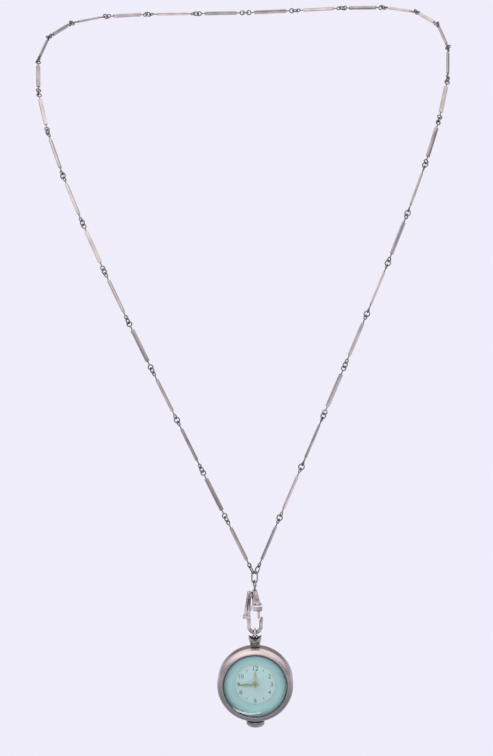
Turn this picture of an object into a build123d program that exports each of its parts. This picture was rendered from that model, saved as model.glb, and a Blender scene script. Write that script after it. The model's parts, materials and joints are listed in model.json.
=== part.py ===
from build123d import *
import math
import os

os.makedirs("parts", exist_ok=True)

# A pendant watch on a bar-link chain. The chain is draped as it is worn: its middle
# rests on the nape, which is the origin, and the watch hangs in front of the chest,
# facing -Y. Lengths are in millimetres and angles in degrees.

overrun = 1.0

# Drape of the chain round the neck
hang_depth = 148.0
hang_drop = 187.1
straight_leg = 80.0
chest_pull = 155.0
nape_pull = 86.0
leg_angle = 24.86
lean_angle = 10.0
drape_tilt = 1.5
leg_spacing = 0.72

# Chain links
bars_per_side = 17
lower_fold_count = 3
middle_fold_count = 6
upper_fold_count = 10
wire = 0.45
link_play = 0.1
ring_outer = 2.5
end_ring_outer = 3.4
eye_outer = 2.1
tang_length = 1.1
bar_width = 1.55
bar_thickness = 0.8
bar_chamfer = 0.35
wire_sides = 6
hanging_sides = 8
small_sides = 12
wheel_sides = 24
case_sides = 36
bar_turns_left = (58, 20, 68, 66, 15, 60, 40, 64, 68, 30, 25, 70, 40, 75, 30, 60, 20)
bar_turns_right = (60, 60, 68, 20, 52, 71, 45, 77, 27, 10, 55, 67, 35, 70, 25, 50, 0)
end_ring_turn = 20

# Joint link and swivel ring
joint_link_height = 4.4
joint_link_width = 2.5
joint_link_turn = 20
joint_link_wire = 0.5
joint_link_room = 0.3
joint_link_inner_corner = 0.12
swivel_wire = 0.55
swivel_outer = 2.9
swivel_ring_turn = -70
swivel_neck_radius = 0.32
swivel_neck_gap = 0.8
swivel_head_radius = 0.45
swivel_head_height = 0.4
running_gap = 0.05

# Clasp: a fixed half with a finger, and a pinched half that ends in the hook
clasp_thickness = 2.4
clasp_top_width = 1.7
clasp_length = 11.3
body_shoulder = 4.6
body_reach = 1.9
collar_height = 2.5
collar_reach = 2.6
collar_back = 0.6
collar_proud = 0.15
finger_length = 3.8
finger_width = 0.95
finger_middle = 0.95
lever_top_drop = 0.6
lever_top_left = 2.6
lever_low_left = 4.1
lever_low_right = 1.7
lever_top_right = 1.25
lever_length = 9.5
lever_band = 0.8
pin_across = 1.05
pin_drop = 1.7
pin_radius = 0.3
knuckle_radius = 0.62
knuckle_thickness = 0.8
ear_margin = 0.25
hook_wire = 1.3
hook_outer = 5.6
hook_drop = 15.9
hook_tip_rise = 6.3
clasp_edge = 0.55
clasp_top_wall = 0.45
hook_sides = 8
leaf_thickness = 0.18
leaf_width = 0.9
leaf_root = 1.5
leaf_reach = 4.8
hook_tip_radius = 0.25
hook_taper = 1.6
groove_width = 0.35
groove_depth = 0.15
groove_length = 5.5

# Bow and pendant cup
bow_wire = 0.8
bow_outer = 3.8
hanging_play = 0.1
cup_eye_outer = 2.5
cup_eye_play = 0.2
bow_sides = 12
cup_sides = 16
cup_base_radius = 1.75
cup_waist_radius = 1.65
cup_lip_radius = 2.35
cup_height = 4.1
cup_waist_height = 0.5
cup_base_edge = 0.25
cup_flare_radius = 1.78
cup_flare_height = 2.3
cup_lip_below_eye = 0.3
cup_wall = 0.32
cup_notch_depth = 1.6
cup_floor = 0.6
eye_post_width = 0.8
cup_stud_radius = 0.7
cup_stud_length = 1.2

# Watch case
case_radius = 13.3
band_height = 4.7
band_wall = 1.7
case_bore = case_radius - band_wall
fit_gap = 0.05
bezel_overhang = 0.07
bezel_radius = case_radius + bezel_overhang
bezel_height = 2.4
bezel_flank = 0.45
bezel_shoulder_step = 0.45
bezel_shoulder_radius = case_radius - bezel_shoulder_step
bezel_shoulder_rise = 1.75
bezel_land = 0.45
bezel_width = 2.0
opening_radius = case_radius - bezel_width
gasket_width = 0.25
crystal_radius = opening_radius - gasket_width
crystal_edge = 1.4
crystal_rise = 1.65
gasket_sunk = 0.1
back_rise = 1.05
back_edge = 0.4
back_slope_width = 5.3
back_flat_radius = case_radius - back_slope_width
back_wall = 0.65
back_spigot_rise = 0.9
tube_radius = 1.0
tube_bore = 0.6
tube_proud = 0.35

# Dial, surround and hands
dial_radius = 7.45
dial_thickness = 0.35
dial_front = 2.0
dial_hole = 0.8
surround_lip = 0.1
surround_rise = 0.9
hand_thickness = 0.15
hand_ring = 0.35
hand_tail = 1.5
hand_tip_share = 0.15
hour_hand_length = 5.3
minute_hand_length = 6.6
hour_hand_width = 0.8
minute_hand_width = 0.6
hour_hand_front = 2.4
minute_hand_front = 2.85
hour_hand_angle = 0.0
minute_hand_angle = -90.0

# Crown, stem and the pinions on it
stem_front = -0.2
crown_radius = 3.2
crown_height = 2.05
crown_gap = 0.3
crown_edge = 0.6
crown_taper = 40
crown_flutes = 28
crown_flute_depth = 0.18
crown_bore_radius = 1.2
crown_bore_depth = 0.6
stem_radius = 0.4
stem_inner = 3.9
stem_grip = 0.6
winding_pinion_radius = 1.3
winding_pinion_length = 0.7
winding_pinion_place = 5.6
clutch_radius = 0.95
clutch_length = 0.9
clutch_gap = 0.1

# Movement. Its wheels are plain discs at their pitch radii. Places are across and up
# from the watch's middle, and fronts and backs are heights in front of the band's middle.
movement_radius = 7.6
holder_gap = 0.1
holder_back = -1.2
plate_back = 0.25
bridge_front = -1.0
bridge_thickness = 0.5
motion_recess = 0.65
arbor_sides = 8
arbor_radius = 0.12
centre_arbor_radius = 0.2
mesh_gap = 0.02
wheel_thickness = 0.12
pinion_length = 0.25
low_wheel_back = -0.87
high_wheel_back = -0.32
escape_wheel_back = -0.07
barrel_place = (-3.0, -1.5)
third_place = (0.0, 2.52)
fourth_place = (1.914, 3.625)
escape_place = (3.629, 2.635)
pallet_place = (3.62, 0.785)
balance_place = (3.6, -2.3)
crown_wheel_place = (0.0, -4.3)
barrel_radius = 2.88
barrel_back = -0.65
barrel_front = 0.15
barrel_wall = 0.28
barrel_floor = 0.12
barrel_arbor_radius = 0.4
spring_play = 0.1
centre_wheel_radius = 2.24
centre_pinion_radius = 0.48
third_wheel_radius = 1.95
third_pinion_radius = 0.28
fourth_wheel_radius = 1.8
fourth_pinion_radius = 0.26
escape_wheel_radius = 1.5
escape_pinion_radius = 0.18
fork_width = 0.25
fork_arm_reach = 0.7
fork_arm_rise = 0.25
fork_gap = 0.5
balance_radius = 2.6
balance_rim = 0.3
balance_back = -0.65
balance_thickness = 0.2
balance_arm = 0.4
roller_radius = 0.45
roller_back = -0.12
hairspring_radius = 1.6
hairspring_inner = 0.5
hairspring_back = -0.9
hairspring_width = 0.15
keyless_wheel_gap = 0.05
keyless_wheel_thickness = 0.25
ratchet_radius = 2.5
crown_wheel_radius = 1.6
click_length = 0.9
click_width = 0.5
click_angle = 200
click_gap = 0.3

# Motion work under the dial
cannon_pipe_radius = 0.45
cannon_pinion_radius = 0.42
cannon_pinion_back = 1.05
cannon_pinion_length = 0.15
motion_place = 1.68
minute_wheel_radius = 1.26
minute_pinion_radius = 0.336
minute_pinion_length = 0.25
hour_wheel_radius = 1.344
hour_wheel_back = 1.25
hour_wheel_thickness = 0.2
hour_pipe_bore = 0.5
hour_pipe_radius = 0.7

# Outlines of the bridges, as shares of their radius
barrel_bridge_shares = ((-1, -0.08), (0.12, -0.08), (0.12, -1), (-1, -1))
barrel_foot_shares = ((-1, -0.08), (-0.83, -0.08), (-0.83, -1), (-1, -1))
train_bridge_shares = ((-1, -0.06), (1, -0.06), (1, 1), (-1, 1))
train_foot_shares = ((-1, 0.82), (1, 0.82), (1, 1), (-1, 1))
balance_cock_shares = ((0.4, -0.42), (1, -0.42), (1, -0.2), (0.4, -0.2))
balance_foot_shares = ((0.875, -0.42), (1, -0.42), (1, -0.2), (0.875, -0.2))

# Route of the chain's right side, in the drape's own frame, from the watch to the nape

tilt = math.radians(drape_tilt)
leg = math.radians(leg_angle)
lean = math.radians(lean_angle)
drape = Plane(
    origin=(0, 0, 0),
    x_dir=(math.cos(tilt), 0, math.sin(tilt)),
    z_dir=(-math.sin(tilt), 0, math.cos(tilt)),
)
leg_run = Vector(
    math.sin(leg),
    math.cos(leg) * math.sin(lean),
    math.cos(leg) * math.cos(lean),
)
leg_start = Vector(leg_spacing / 2, -hang_depth, -hang_drop)
leg_end = leg_start + leg_run * straight_leg
with BuildLine() as route_line:
    Line(leg_start, leg_end)
    Bezier(leg_end, leg_end + leg_run * chest_pull, Vector(nape_pull, 0, 0), Vector(0, 0, 0))
route = route_line.wire()
hang_point = drape.from_local_coords(Vector(0, -hang_depth, -hang_drop))

# Each ring reaches past its middle into the eyes that hang in it
ring_reach = ring_outer / 2 - 2 * wire - link_play
end_reach = end_ring_outer / 2 - 2 * wire - link_play
end_ring_place = (end_ring_outer - wire) / 2
rings_total = end_ring_place + end_reach + ring_reach * (2 * bars_per_side - 1)
link_length = (route.length - rings_total) / bars_per_side
bar_length = link_length - 2 * (tang_length + eye_outer)
pitch = link_length + 2 * ring_reach
first_ring_place = end_ring_place + end_reach + link_length + ring_reach


def ring_place(index):
    return end_ring_place if index == 0 else first_ring_place + pitch * (index - 1)


def worn(side, vector):
    """Turn a place or direction on the right side of the drape into the row's frame."""
    return drape.from_local_coords(Vector(side * vector.X, vector.Y, vector.Z))


def ring_middle(side, index):
    return worn(side, route.position_at(ring_place(index), position_mode=PositionMode.LENGTH))


def ring_run(side, index):
    return worn(side, route.tangent_at(ring_place(index), position_mode=PositionMode.LENGTH))


def turned_front(run, turn):
    """The direction square to a run that faces the front, turned about the run."""
    front = Vector(0, -1, 0)
    return (front - run * front.dot(run)).normalized().rotate(Axis((0, 0, 0), run), turn)


def bar_plane(side, turns, index):
    low = ring_middle(side, index)
    high = ring_middle(side, index + 1)
    run = (high - low).normalized()
    low_reach = end_reach if index == 0 else ring_reach
    slack = (high - low).length - low_reach - ring_reach - link_length
    middle = low + run * (low_reach + (link_length + slack) / 2)
    return Plane(origin=middle, x_dir=run, z_dir=turned_front(run, turns[index]))


def ring_plane(side, turns, index):
    run = ring_run(side, index)
    if index == 0:
        facing = turned_front(run, end_ring_turn)
    elif index == bars_per_side:
        facing = turned_front(run, turns[index - 1])
    else:
        facing = turned_front(run, (turns[index - 1] + turns[index]) / 2)
    return Plane(origin=ring_middle(side, index), x_dir=run, z_dir=run.cross(facing))


def ring_outline(across, thick, sides):
    """A wire ring's outline with flat sides, whose flats meet its neighbours' flats."""
    flat_turn = 180 / sides
    RegularPolygon(across / 2, sides, major_radius=False, rotation=flat_turn)
    RegularPolygon(
        across / 2 - thick,
        sides,
        major_radius=False,
        rotation=flat_turn,
        mode=Mode.SUBTRACT,
    )


def ring_of_wire(across, thick, place, sides=wire_sides):
    with BuildPart() as ring:
        with BuildSketch(place):
            ring_outline(across, thick, sides)
        extrude(amount=thick / 2, both=True)
    return ring.part


def small_disc(radius):
    """A small round section, drawn with flat sides."""
    RegularPolygon(radius, small_sides)


def small_bore(radius):
    """A small bore round a section of this radius, with a running gap, for a cut."""
    RegularPolygon(radius + running_gap, small_sides, major_radius=False)


def finish(builder, label):
    builder.part.label = label
    export_step(builder.part, f"parts/{label}.step")


# One bar link: a flat strip with a wire eye on a tang at each end

with BuildPart() as bar_link:
    with BuildSketch():
        strip = Rectangle(bar_length, bar_width)
        chamfer(strip.vertices(), bar_chamfer)
    extrude(amount=bar_thickness / 2, both=True)
    with BuildSketch():
        for end in (-1, 1):
            with Locations((end * (bar_length + tang_length) / 2, 0)):
                Rectangle(tang_length + wire, wire)
            with Locations((end * (link_length - eye_outer) / 2, 0)):
                ring_outline(eye_outer, wire, wire_sides)
    extrude(amount=wire / 2, both=True)

connecting_ring = ring_of_wire(ring_outer, wire, Plane.XY)
end_ring = ring_of_wire(end_ring_outer, wire, Plane.XY)

# The chain in four runs that fold where a ring lets them, from the watch up to the neck

chain_sides = (("left", -1, bar_turns_left), ("right", 1, bar_turns_right))
chain_runs = (
    ("lower", 0, lower_fold_count),
    ("middle", lower_fold_count, middle_fold_count),
    ("upper", middle_fold_count, upper_fold_count),
    ("neck", upper_fold_count, bars_per_side),
)
for run_name, first, last in chain_runs:
    for side_name, side, turns in chain_sides:
        with BuildPart() as bars:
            places = [bar_plane(side, turns, index) for index in range(first, last)]
            add([bar_link.part.moved(place.location) for place in places])
        finish(bars, f"{run_name}_bars_{side_name}")
    with BuildPart() as rings:
        loops = []
        for side_name, side, turns in chain_sides:
            for index in range(first, last):
                pattern = end_ring if index == 0 else connecting_ring
                loops.append(pattern.moved(ring_plane(side, turns, index).location))
        if last == bars_per_side:
            loops.append(connecting_ring.moved(ring_plane(1, bar_turns_right, last).location))
        add(loops)
    finish(rings, f"{run_name}_rings")


def fold_point(index):
    """Where the eyes of a run hang in the ring above them, on the right side."""
    return ring_middle(1, index) - ring_run(1, index) * ((ring_outer - wire) / 2)


for run_name, first, last in chain_runs[:-1]:
    print("fold of the", run_name, "run at", fold_point(last))


# Joint link and swivel ring, below the end rings

def hang_plane(turn, drop, depth=0):
    """A plane through the plumb line, turned about it, with its origin a drop below."""
    angle = math.radians(turn)
    return Plane(
        origin=hang_point + Vector(0, -depth, -drop),
        x_dir=(math.cos(angle), math.sin(angle), 0),
        z_dir=(math.sin(angle), -math.cos(angle), 0),
    )


def loop_points(width, height, corner):
    """The corners of an upright oblong whose four corners are cut."""
    x, y = width / 2, height / 2
    return [
        (x, y - corner),
        (x - corner, y),
        (corner - x, y),
        (-x, y - corner),
        (-x, corner - y),
        (corner - x, -y),
        (x - corner, -y),
        (x, corner - y),
    ]


link_top = wire / 2 + joint_link_room + joint_link_wire
link_middle = joint_link_height / 2 - link_top
link_corner = joint_link_width / 4
with BuildPart() as joint_link:
    with BuildSketch(hang_plane(joint_link_turn, link_middle)):
        Polygon(*loop_points(joint_link_width, joint_link_height, link_corner), align=None)
        Polygon(
            *loop_points(
                joint_link_width - 2 * joint_link_wire,
                joint_link_height - 2 * joint_link_wire,
                joint_link_inner_corner,
            ),
            align=None,
            mode=Mode.SUBTRACT,
        )
    extrude(amount=joint_link_wire / 2, both=True)
finish(joint_link, "joint_link")

link_low_wire = joint_link_height - link_top - joint_link_wire / 2
swivel_top = joint_link_height - link_top - joint_link_wire - swivel_wire - hanging_play
swivel_low = swivel_top + swivel_outer
clasp_top = swivel_low + swivel_neck_gap
neck_top = swivel_low - swivel_wire / 2
head_top = clasp_top + clasp_top_wall
plumb = Plane(origin=hang_point, x_dir=(1, 0, 0), z_dir=(0, 0, -1))
with BuildPart() as swivel_ring:
    ring_place_down = swivel_top + swivel_outer / 2
    hanging = hang_plane(swivel_ring_turn, ring_place_down)
    add(ring_of_wire(swivel_outer, swivel_wire, hanging, hanging_sides))
    with BuildSketch(plumb.offset(neck_top)):
        small_disc(swivel_neck_radius)
    extrude(amount=head_top + running_gap - neck_top)
    with BuildSketch(plumb.offset(head_top + running_gap)):
        small_disc(swivel_head_radius)
    extrude(amount=swivel_head_height)
finish(swivel_ring, "swivel_ring")

# Clasp. Its places are measured across and down from the middle of its top.

clasp = hang_plane(0, clasp_top)
pin_place = (-pin_across, -pin_drop)
collar_low = clasp_length - finger_length
collar_high = collar_low - collar_height
hook_bend = (hook_outer - hook_wire) / 2
hook_bend_drop = hook_drop - hook_outer / 2
hook_tip_drop = hook_drop - hook_tip_rise
finger_left = finger_middle - finger_width / 2
finger_right = finger_middle + finger_width / 2

with BuildPart() as clasp_body:
    with BuildSketch(clasp):
        with BuildLine():
            Polyline(
                (-clasp_top_width / 2, 0),
                (clasp_top_width / 2, 0),
                (body_reach, -body_shoulder),
                (collar_reach - collar_proud, -collar_high),
                (collar_reach - collar_proud, -collar_low),
                (collar_proud - collar_back, -collar_low),
                (collar_proud - collar_back, -collar_high),
                (-clasp_top_width / 2, -pin_drop - knuckle_radius - ear_margin),
                close=True,
            )
        make_face()
        with Locations(pin_place):
            small_disc(knuckle_radius + ear_margin)
    extrude(amount=clasp_thickness / 2, both=True)
    outer_flank = clasp_body.faces().sort_by(Axis.X)[-1]
    chamfer(outer_flank.edges().sort_by(SortBy.LENGTH)[-2:], clasp_edge)
    with BuildSketch(clasp):
        with Locations(((collar_reach - collar_back) / 2, -(collar_high + collar_low) / 2)):
            Rectangle(collar_reach + collar_back, collar_height)
    extrude(amount=clasp_thickness / 2 + collar_proud, both=True)
    with BuildSketch(clasp):
        with Locations((finger_middle, -(collar_low + clasp_length) / 2)):
            Rectangle(finger_width, finger_length)
    extrude(amount=finger_width / 2, both=True)
    finger_tip = clasp_body.edges().filter_by(Axis.Y).group_by(Axis.Z)[0]
    chamfer(finger_tip, finger_width / 3)
    with BuildSketch(clasp):
        with Locations(pin_place):
            small_bore(knuckle_radius + running_gap)
        with Locations((-pin_across - knuckle_radius, -pin_drop)):
            Rectangle(2 * knuckle_radius, 2 * (knuckle_radius + ear_margin) + overrun)
    extrude(amount=knuckle_thickness / 2 + running_gap, both=True, mode=Mode.SUBTRACT)
    with BuildSketch(clasp):
        with Locations(pin_place):
            small_disc(pin_radius)
    extrude(amount=clasp_thickness, both=True, mode=Mode.SUBTRACT)
    with BuildSketch(plumb.offset(clasp_top)):
        small_bore(swivel_neck_radius)
    extrude(amount=head_top - clasp_top, mode=Mode.SUBTRACT)
    with BuildSketch(plumb.offset(head_top)):
        small_bore(swivel_head_radius)
    extrude(amount=swivel_head_height + 2 * running_gap, mode=Mode.SUBTRACT)
finish(clasp_body, "clasp_body")

lever_low = lever_top_drop + lever_length
lever_waist = pin_drop + knuckle_radius
groove_middle = (
    -(lever_top_left + lever_low_right) / 2 - groove_width,
    -(lever_low + pin_drop) / 2,
)
groove_lean = math.degrees(math.atan(groove_width / clasp_thickness))
with BuildPart() as clasp_lever:
    with BuildSketch(clasp):
        with BuildLine():
            Polyline(
                (-lever_top_left, -lever_top_drop),
                (-lever_top_right, -lever_top_drop),
                (-lever_top_right, -lever_waist),
                (-lever_low_right, -lever_low),
                (-lever_low_left, -lever_low),
                close=True,
            )
        make_face()
    extrude(amount=clasp_thickness / 2, both=True)
    outer_flank = clasp_lever.faces().sort_by(Axis.X)[0]
    chamfer(outer_flank.edges().sort_by(SortBy.LENGTH)[-2:], clasp_edge)
    with BuildSketch(clasp):
        with Locations((-(lever_low_left + lever_low_right) / 2, lever_band / 2 - lever_low)):
            Rectangle(lever_low_left - lever_low_right + 2 * collar_proud, lever_band)
    extrude(amount=clasp_thickness / 2 + collar_proud, both=True)
    for front in (1, -1):
        face_out = hang_plane(0, clasp_top, front * knuckle_thickness / 2)
        with BuildSketch(face_out):
            with Locations(pin_place):
                small_bore(knuckle_radius + ear_margin + running_gap)
        extrude(amount=front * clasp_thickness, mode=Mode.SUBTRACT)
        groove_place = hang_plane(0, clasp_top, front * (clasp_thickness / 2 - groove_depth))
        with BuildSketch(groove_place):
            with Locations(groove_middle):
                Rectangle(groove_width, groove_length, rotation=-groove_lean)
        extrude(amount=front * clasp_thickness, mode=Mode.SUBTRACT)
    with BuildSketch(clasp):
        with Locations(pin_place):
            small_disc(knuckle_radius)
    extrude(amount=knuckle_thickness / 2, both=True)
    with BuildSketch(clasp):
        with Locations(pin_place):
            small_bore(pin_radius)
    extrude(amount=clasp_thickness, both=True, mode=Mode.SUBTRACT)
    with BuildLine(clasp) as hook_path:
        Line((-hook_bend, lever_band - lever_low), (-hook_bend, -hook_bend_drop))
        CenterArc((0, -hook_bend_drop), hook_bend, 180, 180)
        Line((hook_bend, -hook_bend_drop), (hook_bend, -hook_tip_drop - hook_taper))
    with BuildSketch(Plane(origin=hook_path.line @ 0, x_dir=(1, 0, 0), z_dir=(0, 0, -1))):
        RegularPolygon(
            hook_wire / 2, hook_sides, major_radius=False, rotation=180 / hook_sides
        )
    sweep(path=hook_path.line)
    tip_side = hook_outer / 2 - hook_tip_radius
    tip_ends = (
        (hook_bend, hook_tip_drop + hook_taper, hook_wire / 2),
        (tip_side, hook_tip_drop, hook_tip_radius),
    )
    for across, drop, radius in tip_ends:
        with BuildSketch(Plane(origin=hang_point + Vector(across, 0, -clasp_top - drop))):
            RegularPolygon(radius, hook_sides, major_radius=False, rotation=180 / hook_sides)
    loft()
finish(clasp_lever, "clasp_lever")

with BuildPart() as clasp_pin:
    with BuildSketch(clasp):
        with Locations(pin_place):
            small_disc(pin_radius)
    extrude(amount=clasp_thickness / 2, both=True)
finish(clasp_pin, "clasp_pin")

# The leaf spring lies along the body's inner edge and leans out to the lever
leaf_high = pin_drop + knuckle_radius + ear_margin + leaf_thickness
edge_lean = (clasp_top_width / 2 - collar_back + collar_proud) / (
    collar_high - pin_drop - knuckle_radius - ear_margin
)


def body_edge(drop):
    """How far left of the middle the body's inner edge lies at a drop."""
    return clasp_top_width / 2 - edge_lean * (drop - leaf_high + leaf_thickness)


def lever_edge(drop):
    share = (drop - lever_waist) / (lever_low - lever_waist)
    return lever_top_right + (lever_low_right - lever_top_right) * share


leaf_bend = leaf_high + leaf_root
leaf_low = leaf_high + leaf_reach
with BuildPart() as clasp_spring:
    with BuildSketch(clasp):
        with BuildLine():
            Polyline(
                (-body_edge(leaf_high), -leaf_high),
                (-body_edge(leaf_bend), -leaf_bend),
                (-lever_edge(leaf_low) + running_gap + leaf_thickness, -leaf_low),
                (-lever_edge(leaf_low) + running_gap, -leaf_low),
                (-body_edge(leaf_bend) - leaf_thickness, -leaf_bend),
                (-body_edge(leaf_high) - leaf_thickness, -leaf_high),
                close=True,
            )
        make_face()
    extrude(amount=leaf_width / 2, both=True)
finish(clasp_spring, "clasp_spring")

# Bow, which hangs in the hook, and the cup on the case that hangs in the bow

bow_top = clasp_top + hook_drop - hook_wire - hanging_play - bow_wire
bow_middle = bow_top + bow_outer / 2
bow_low_wire = bow_top + bow_outer - bow_wire / 2
with BuildPart() as bow_ring:
    add(ring_of_wire(bow_outer, bow_wire, hang_plane(90, bow_middle), bow_sides))
finish(bow_ring, "bow_ring")

cup_eye_top = bow_top + bow_outer - bow_wire - cup_eye_play - wire
cup_eye_middle = cup_eye_top + cup_eye_outer / 2
cup_lip = cup_eye_top + cup_lip_below_eye
cup_base = cup_lip + cup_height
watch_drop = cup_base + case_radius
watch_middle = hang_point + Vector(0, 0, -watch_drop)
watch_axis = Axis(watch_middle, (0, -1, 0))
watch_section = Plane(origin=watch_middle, x_dir=(1, 0, 0), z_dir=(0, 0, -1))


def face_plane(front, angle=0):
    """A plane across the watch, in front of the band's middle, turned clockwise from 12."""
    turn = math.radians(angle)
    return Plane(
        origin=watch_middle + Vector(0, -front, 0),
        x_dir=(math.cos(turn), 0, -math.sin(turn)),
        z_dir=(0, -1, 0),
    )


def turned(*outline):
    """A ring or disc turned about the watch's middle, from its radii and front heights."""
    with BuildPart() as piece:
        with BuildSketch(watch_section):
            with BuildLine():
                Polyline(*outline, close=True)
            make_face()
        revolve(axis=watch_axis)
    return piece.part


def stacked(place, wheels, arbors):
    """Wheels, and pinions and arbors, on one axis of the watch, with radius, back and front."""
    with BuildPart() as pile:
        for radius, back, front in wheels:
            with BuildSketch(face_plane(back)):
                with Locations(place):
                    RegularPolygon(radius, wheel_sides)
            extrude(amount=front - back)
        for radius, back, front in arbors:
            with BuildSketch(face_plane(back)):
                with Locations(place):
                    RegularPolygon(radius, arbor_sides)
            extrude(amount=front - back)
    return pile.part


cup_levels = (
    (cup_base_radius, -cup_wall),
    (cup_base_radius, cup_base_edge),
    (cup_waist_radius, cup_waist_height),
    (cup_flare_radius, cup_flare_height),
    (cup_lip_radius, cup_height),
)
cup_hollow = (
    (cup_waist_radius - cup_wall, cup_floor),
    (cup_lip_radius - cup_wall, cup_height),
)
with BuildPart() as pendant_cup:
    for levels, mode in ((cup_levels, Mode.ADD), (cup_hollow, Mode.SUBTRACT)):
        for radius, height in levels:
            with BuildSketch(plumb.offset(cup_base - height)):
                RegularPolygon(radius, cup_sides)
        loft(ruled=True, mode=mode)
    with BuildSketch(hang_plane(0, cup_lip)):
        Polygon(
            (0, -cup_notch_depth),
            (cup_lip_radius, 0),
            (cup_lip_radius, overrun),
            (-cup_lip_radius, overrun),
            (-cup_lip_radius, 0),
            align=None,
        )
    extrude(amount=2 * cup_lip_radius, both=True, mode=Mode.SUBTRACT)
    with BuildSketch(face_plane(-case_radius)):
        Circle(case_radius)
    extrude(amount=2 * case_radius, mode=Mode.SUBTRACT)
    with BuildSketch(plumb.offset(cup_base - cup_floor / 2)):
        small_disc(cup_stud_radius)
    extrude(amount=cup_stud_length + cup_floor / 2)
    post_length = cup_base - cup_eye_middle - cup_eye_outer / 2 - cup_floor + wire
    with BuildSketch(hang_plane(0, cup_eye_middle)):
        ring_outline(cup_eye_outer, wire, hanging_sides)
        with Locations((0, (wire - cup_eye_outer - post_length) / 2)):
            Rectangle(eye_post_width, post_length)
    extrude(amount=wire / 2, both=True)
finish(pendant_cup, "pendant_cup")

# Watch case: band, case back, bezel, crystal, and the tube that the stem runs in

case_half = band_height / 2
opening_front = case_half + bezel_height


def stem_place(reach):
    """A plane square to the stem, a distance out from the watch's middle."""
    return Plane(
        origin=watch_middle + Vector(0, -stem_front, -reach), x_dir=(1, 0, 0), z_dir=(0, 0, -1)
    )


with BuildPart() as case_middle:
    with BuildSketch(face_plane(-case_half)):
        Circle(case_radius)
        Circle(case_bore, mode=Mode.SUBTRACT)
    extrude(amount=band_height)
    with BuildSketch(stem_place(0)):
        small_disc(tube_radius)
    extrude(amount=case_radius, mode=Mode.SUBTRACT)
    with BuildSketch(plumb.offset(cup_base)):
        small_disc(cup_stud_radius)
    extrude(amount=cup_stud_length, mode=Mode.SUBTRACT)
finish(case_middle, "case_middle")

with BuildPart() as case_tube:
    with BuildSketch(stem_place(case_bore)):
        small_disc(tube_radius)
        RegularPolygon(tube_bore, small_sides, mode=Mode.SUBTRACT)
    extrude(amount=case_radius + tube_proud - case_bore)
finish(case_tube, "case_tube")

with BuildPart() as bezel:
    add(
        turned(
            (opening_radius, case_half),
            (bezel_radius, case_half),
            (bezel_radius, case_half + bezel_flank),
            (bezel_shoulder_radius, case_half + bezel_shoulder_rise),
            (opening_radius + bezel_land, opening_front),
            (opening_radius, opening_front),
        )
    )
finish(bezel, "bezel")

crystal_back = opening_front - crystal_edge
with BuildPart() as crystal:
    with BuildSketch(watch_section):
        with BuildLine():
            Polyline(
                (0, opening_front + crystal_rise),
                (0, crystal_back),
                (crystal_radius, crystal_back),
                (crystal_radius, opening_front),
            )
            TangentArc(
                (0, opening_front + crystal_rise), (crystal_radius, opening_front), tangent=(1, 0)
            )
        make_face()
    revolve(axis=watch_axis)
finish(crystal, "crystal")

with BuildPart() as crystal_gasket:
    with BuildSketch(face_plane(crystal_back)):
        Circle(opening_radius)
        Circle(crystal_radius, mode=Mode.SUBTRACT)
    extrude(amount=crystal_edge - gasket_sunk)
finish(crystal_gasket, "crystal_gasket")

back_spigot = case_bore - fit_gap
with BuildPart() as case_back:
    add(
        turned(
            (0, -case_half - back_rise),
            (back_flat_radius, -case_half - back_rise),
            (case_radius, -case_half - back_edge),
            (case_radius, -case_half),
            (back_spigot, -case_half),
            (back_spigot, back_spigot_rise - case_half),
            (back_spigot - back_wall, back_spigot_rise - case_half),
            (back_spigot - back_wall, -case_half),
            (0, back_wall - case_half - back_rise),
        )
    )
finish(case_back, "case_back")

# Dial, the sloping surround between it and the crystal, and the hands

plate_front = dial_front - dial_thickness
with BuildPart() as dial:
    with BuildSketch(face_plane(plate_front)):
        Circle(dial_radius)
        RegularPolygon(dial_hole, small_sides, mode=Mode.SUBTRACT)
    extrude(amount=dial_thickness)
finish(dial, "dial")

surround_reach = opening_radius - fit_gap
with BuildPart() as dial_surround:
    add(
        turned(
            (dial_radius + fit_gap, plate_front),
            (surround_reach, plate_front),
            (surround_reach, dial_front + surround_rise),
            (dial_radius + fit_gap, dial_front + surround_lip),
        )
    )
finish(dial_surround, "dial_surround")


def hand(place, bore, length, width):
    """A tapered hand on a round boss, along its plane's upward direction."""
    with BuildPart() as piece:
        with BuildSketch(place):
            RegularPolygon(bore + hand_ring, small_sides)
            Polygon(
                (-width / 2, 0),
                (-width * hand_tip_share, length),
                (width * hand_tip_share, length),
                (width / 2, 0),
                (width * hand_tip_share, -hand_tail),
                (-width * hand_tip_share, -hand_tail),
                align=None,
            )
            RegularPolygon(bore, small_sides, mode=Mode.SUBTRACT)
        extrude(amount=-hand_thickness)
    return piece.part


with BuildPart() as hour_hand:
    add(
        hand(
            face_plane(hour_hand_front, hour_hand_angle),
            hour_pipe_radius,
            hour_hand_length,
            hour_hand_width,
        )
    )
finish(hour_hand, "hour_hand")

with BuildPart() as minute_hand:
    add(
        hand(
            face_plane(minute_hand_front, minute_hand_angle),
            cannon_pipe_radius,
            minute_hand_length,
            minute_hand_width,
        )
    )
finish(minute_hand, "minute_hand")

# Crown, stem and the two pinions on the stem

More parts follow.
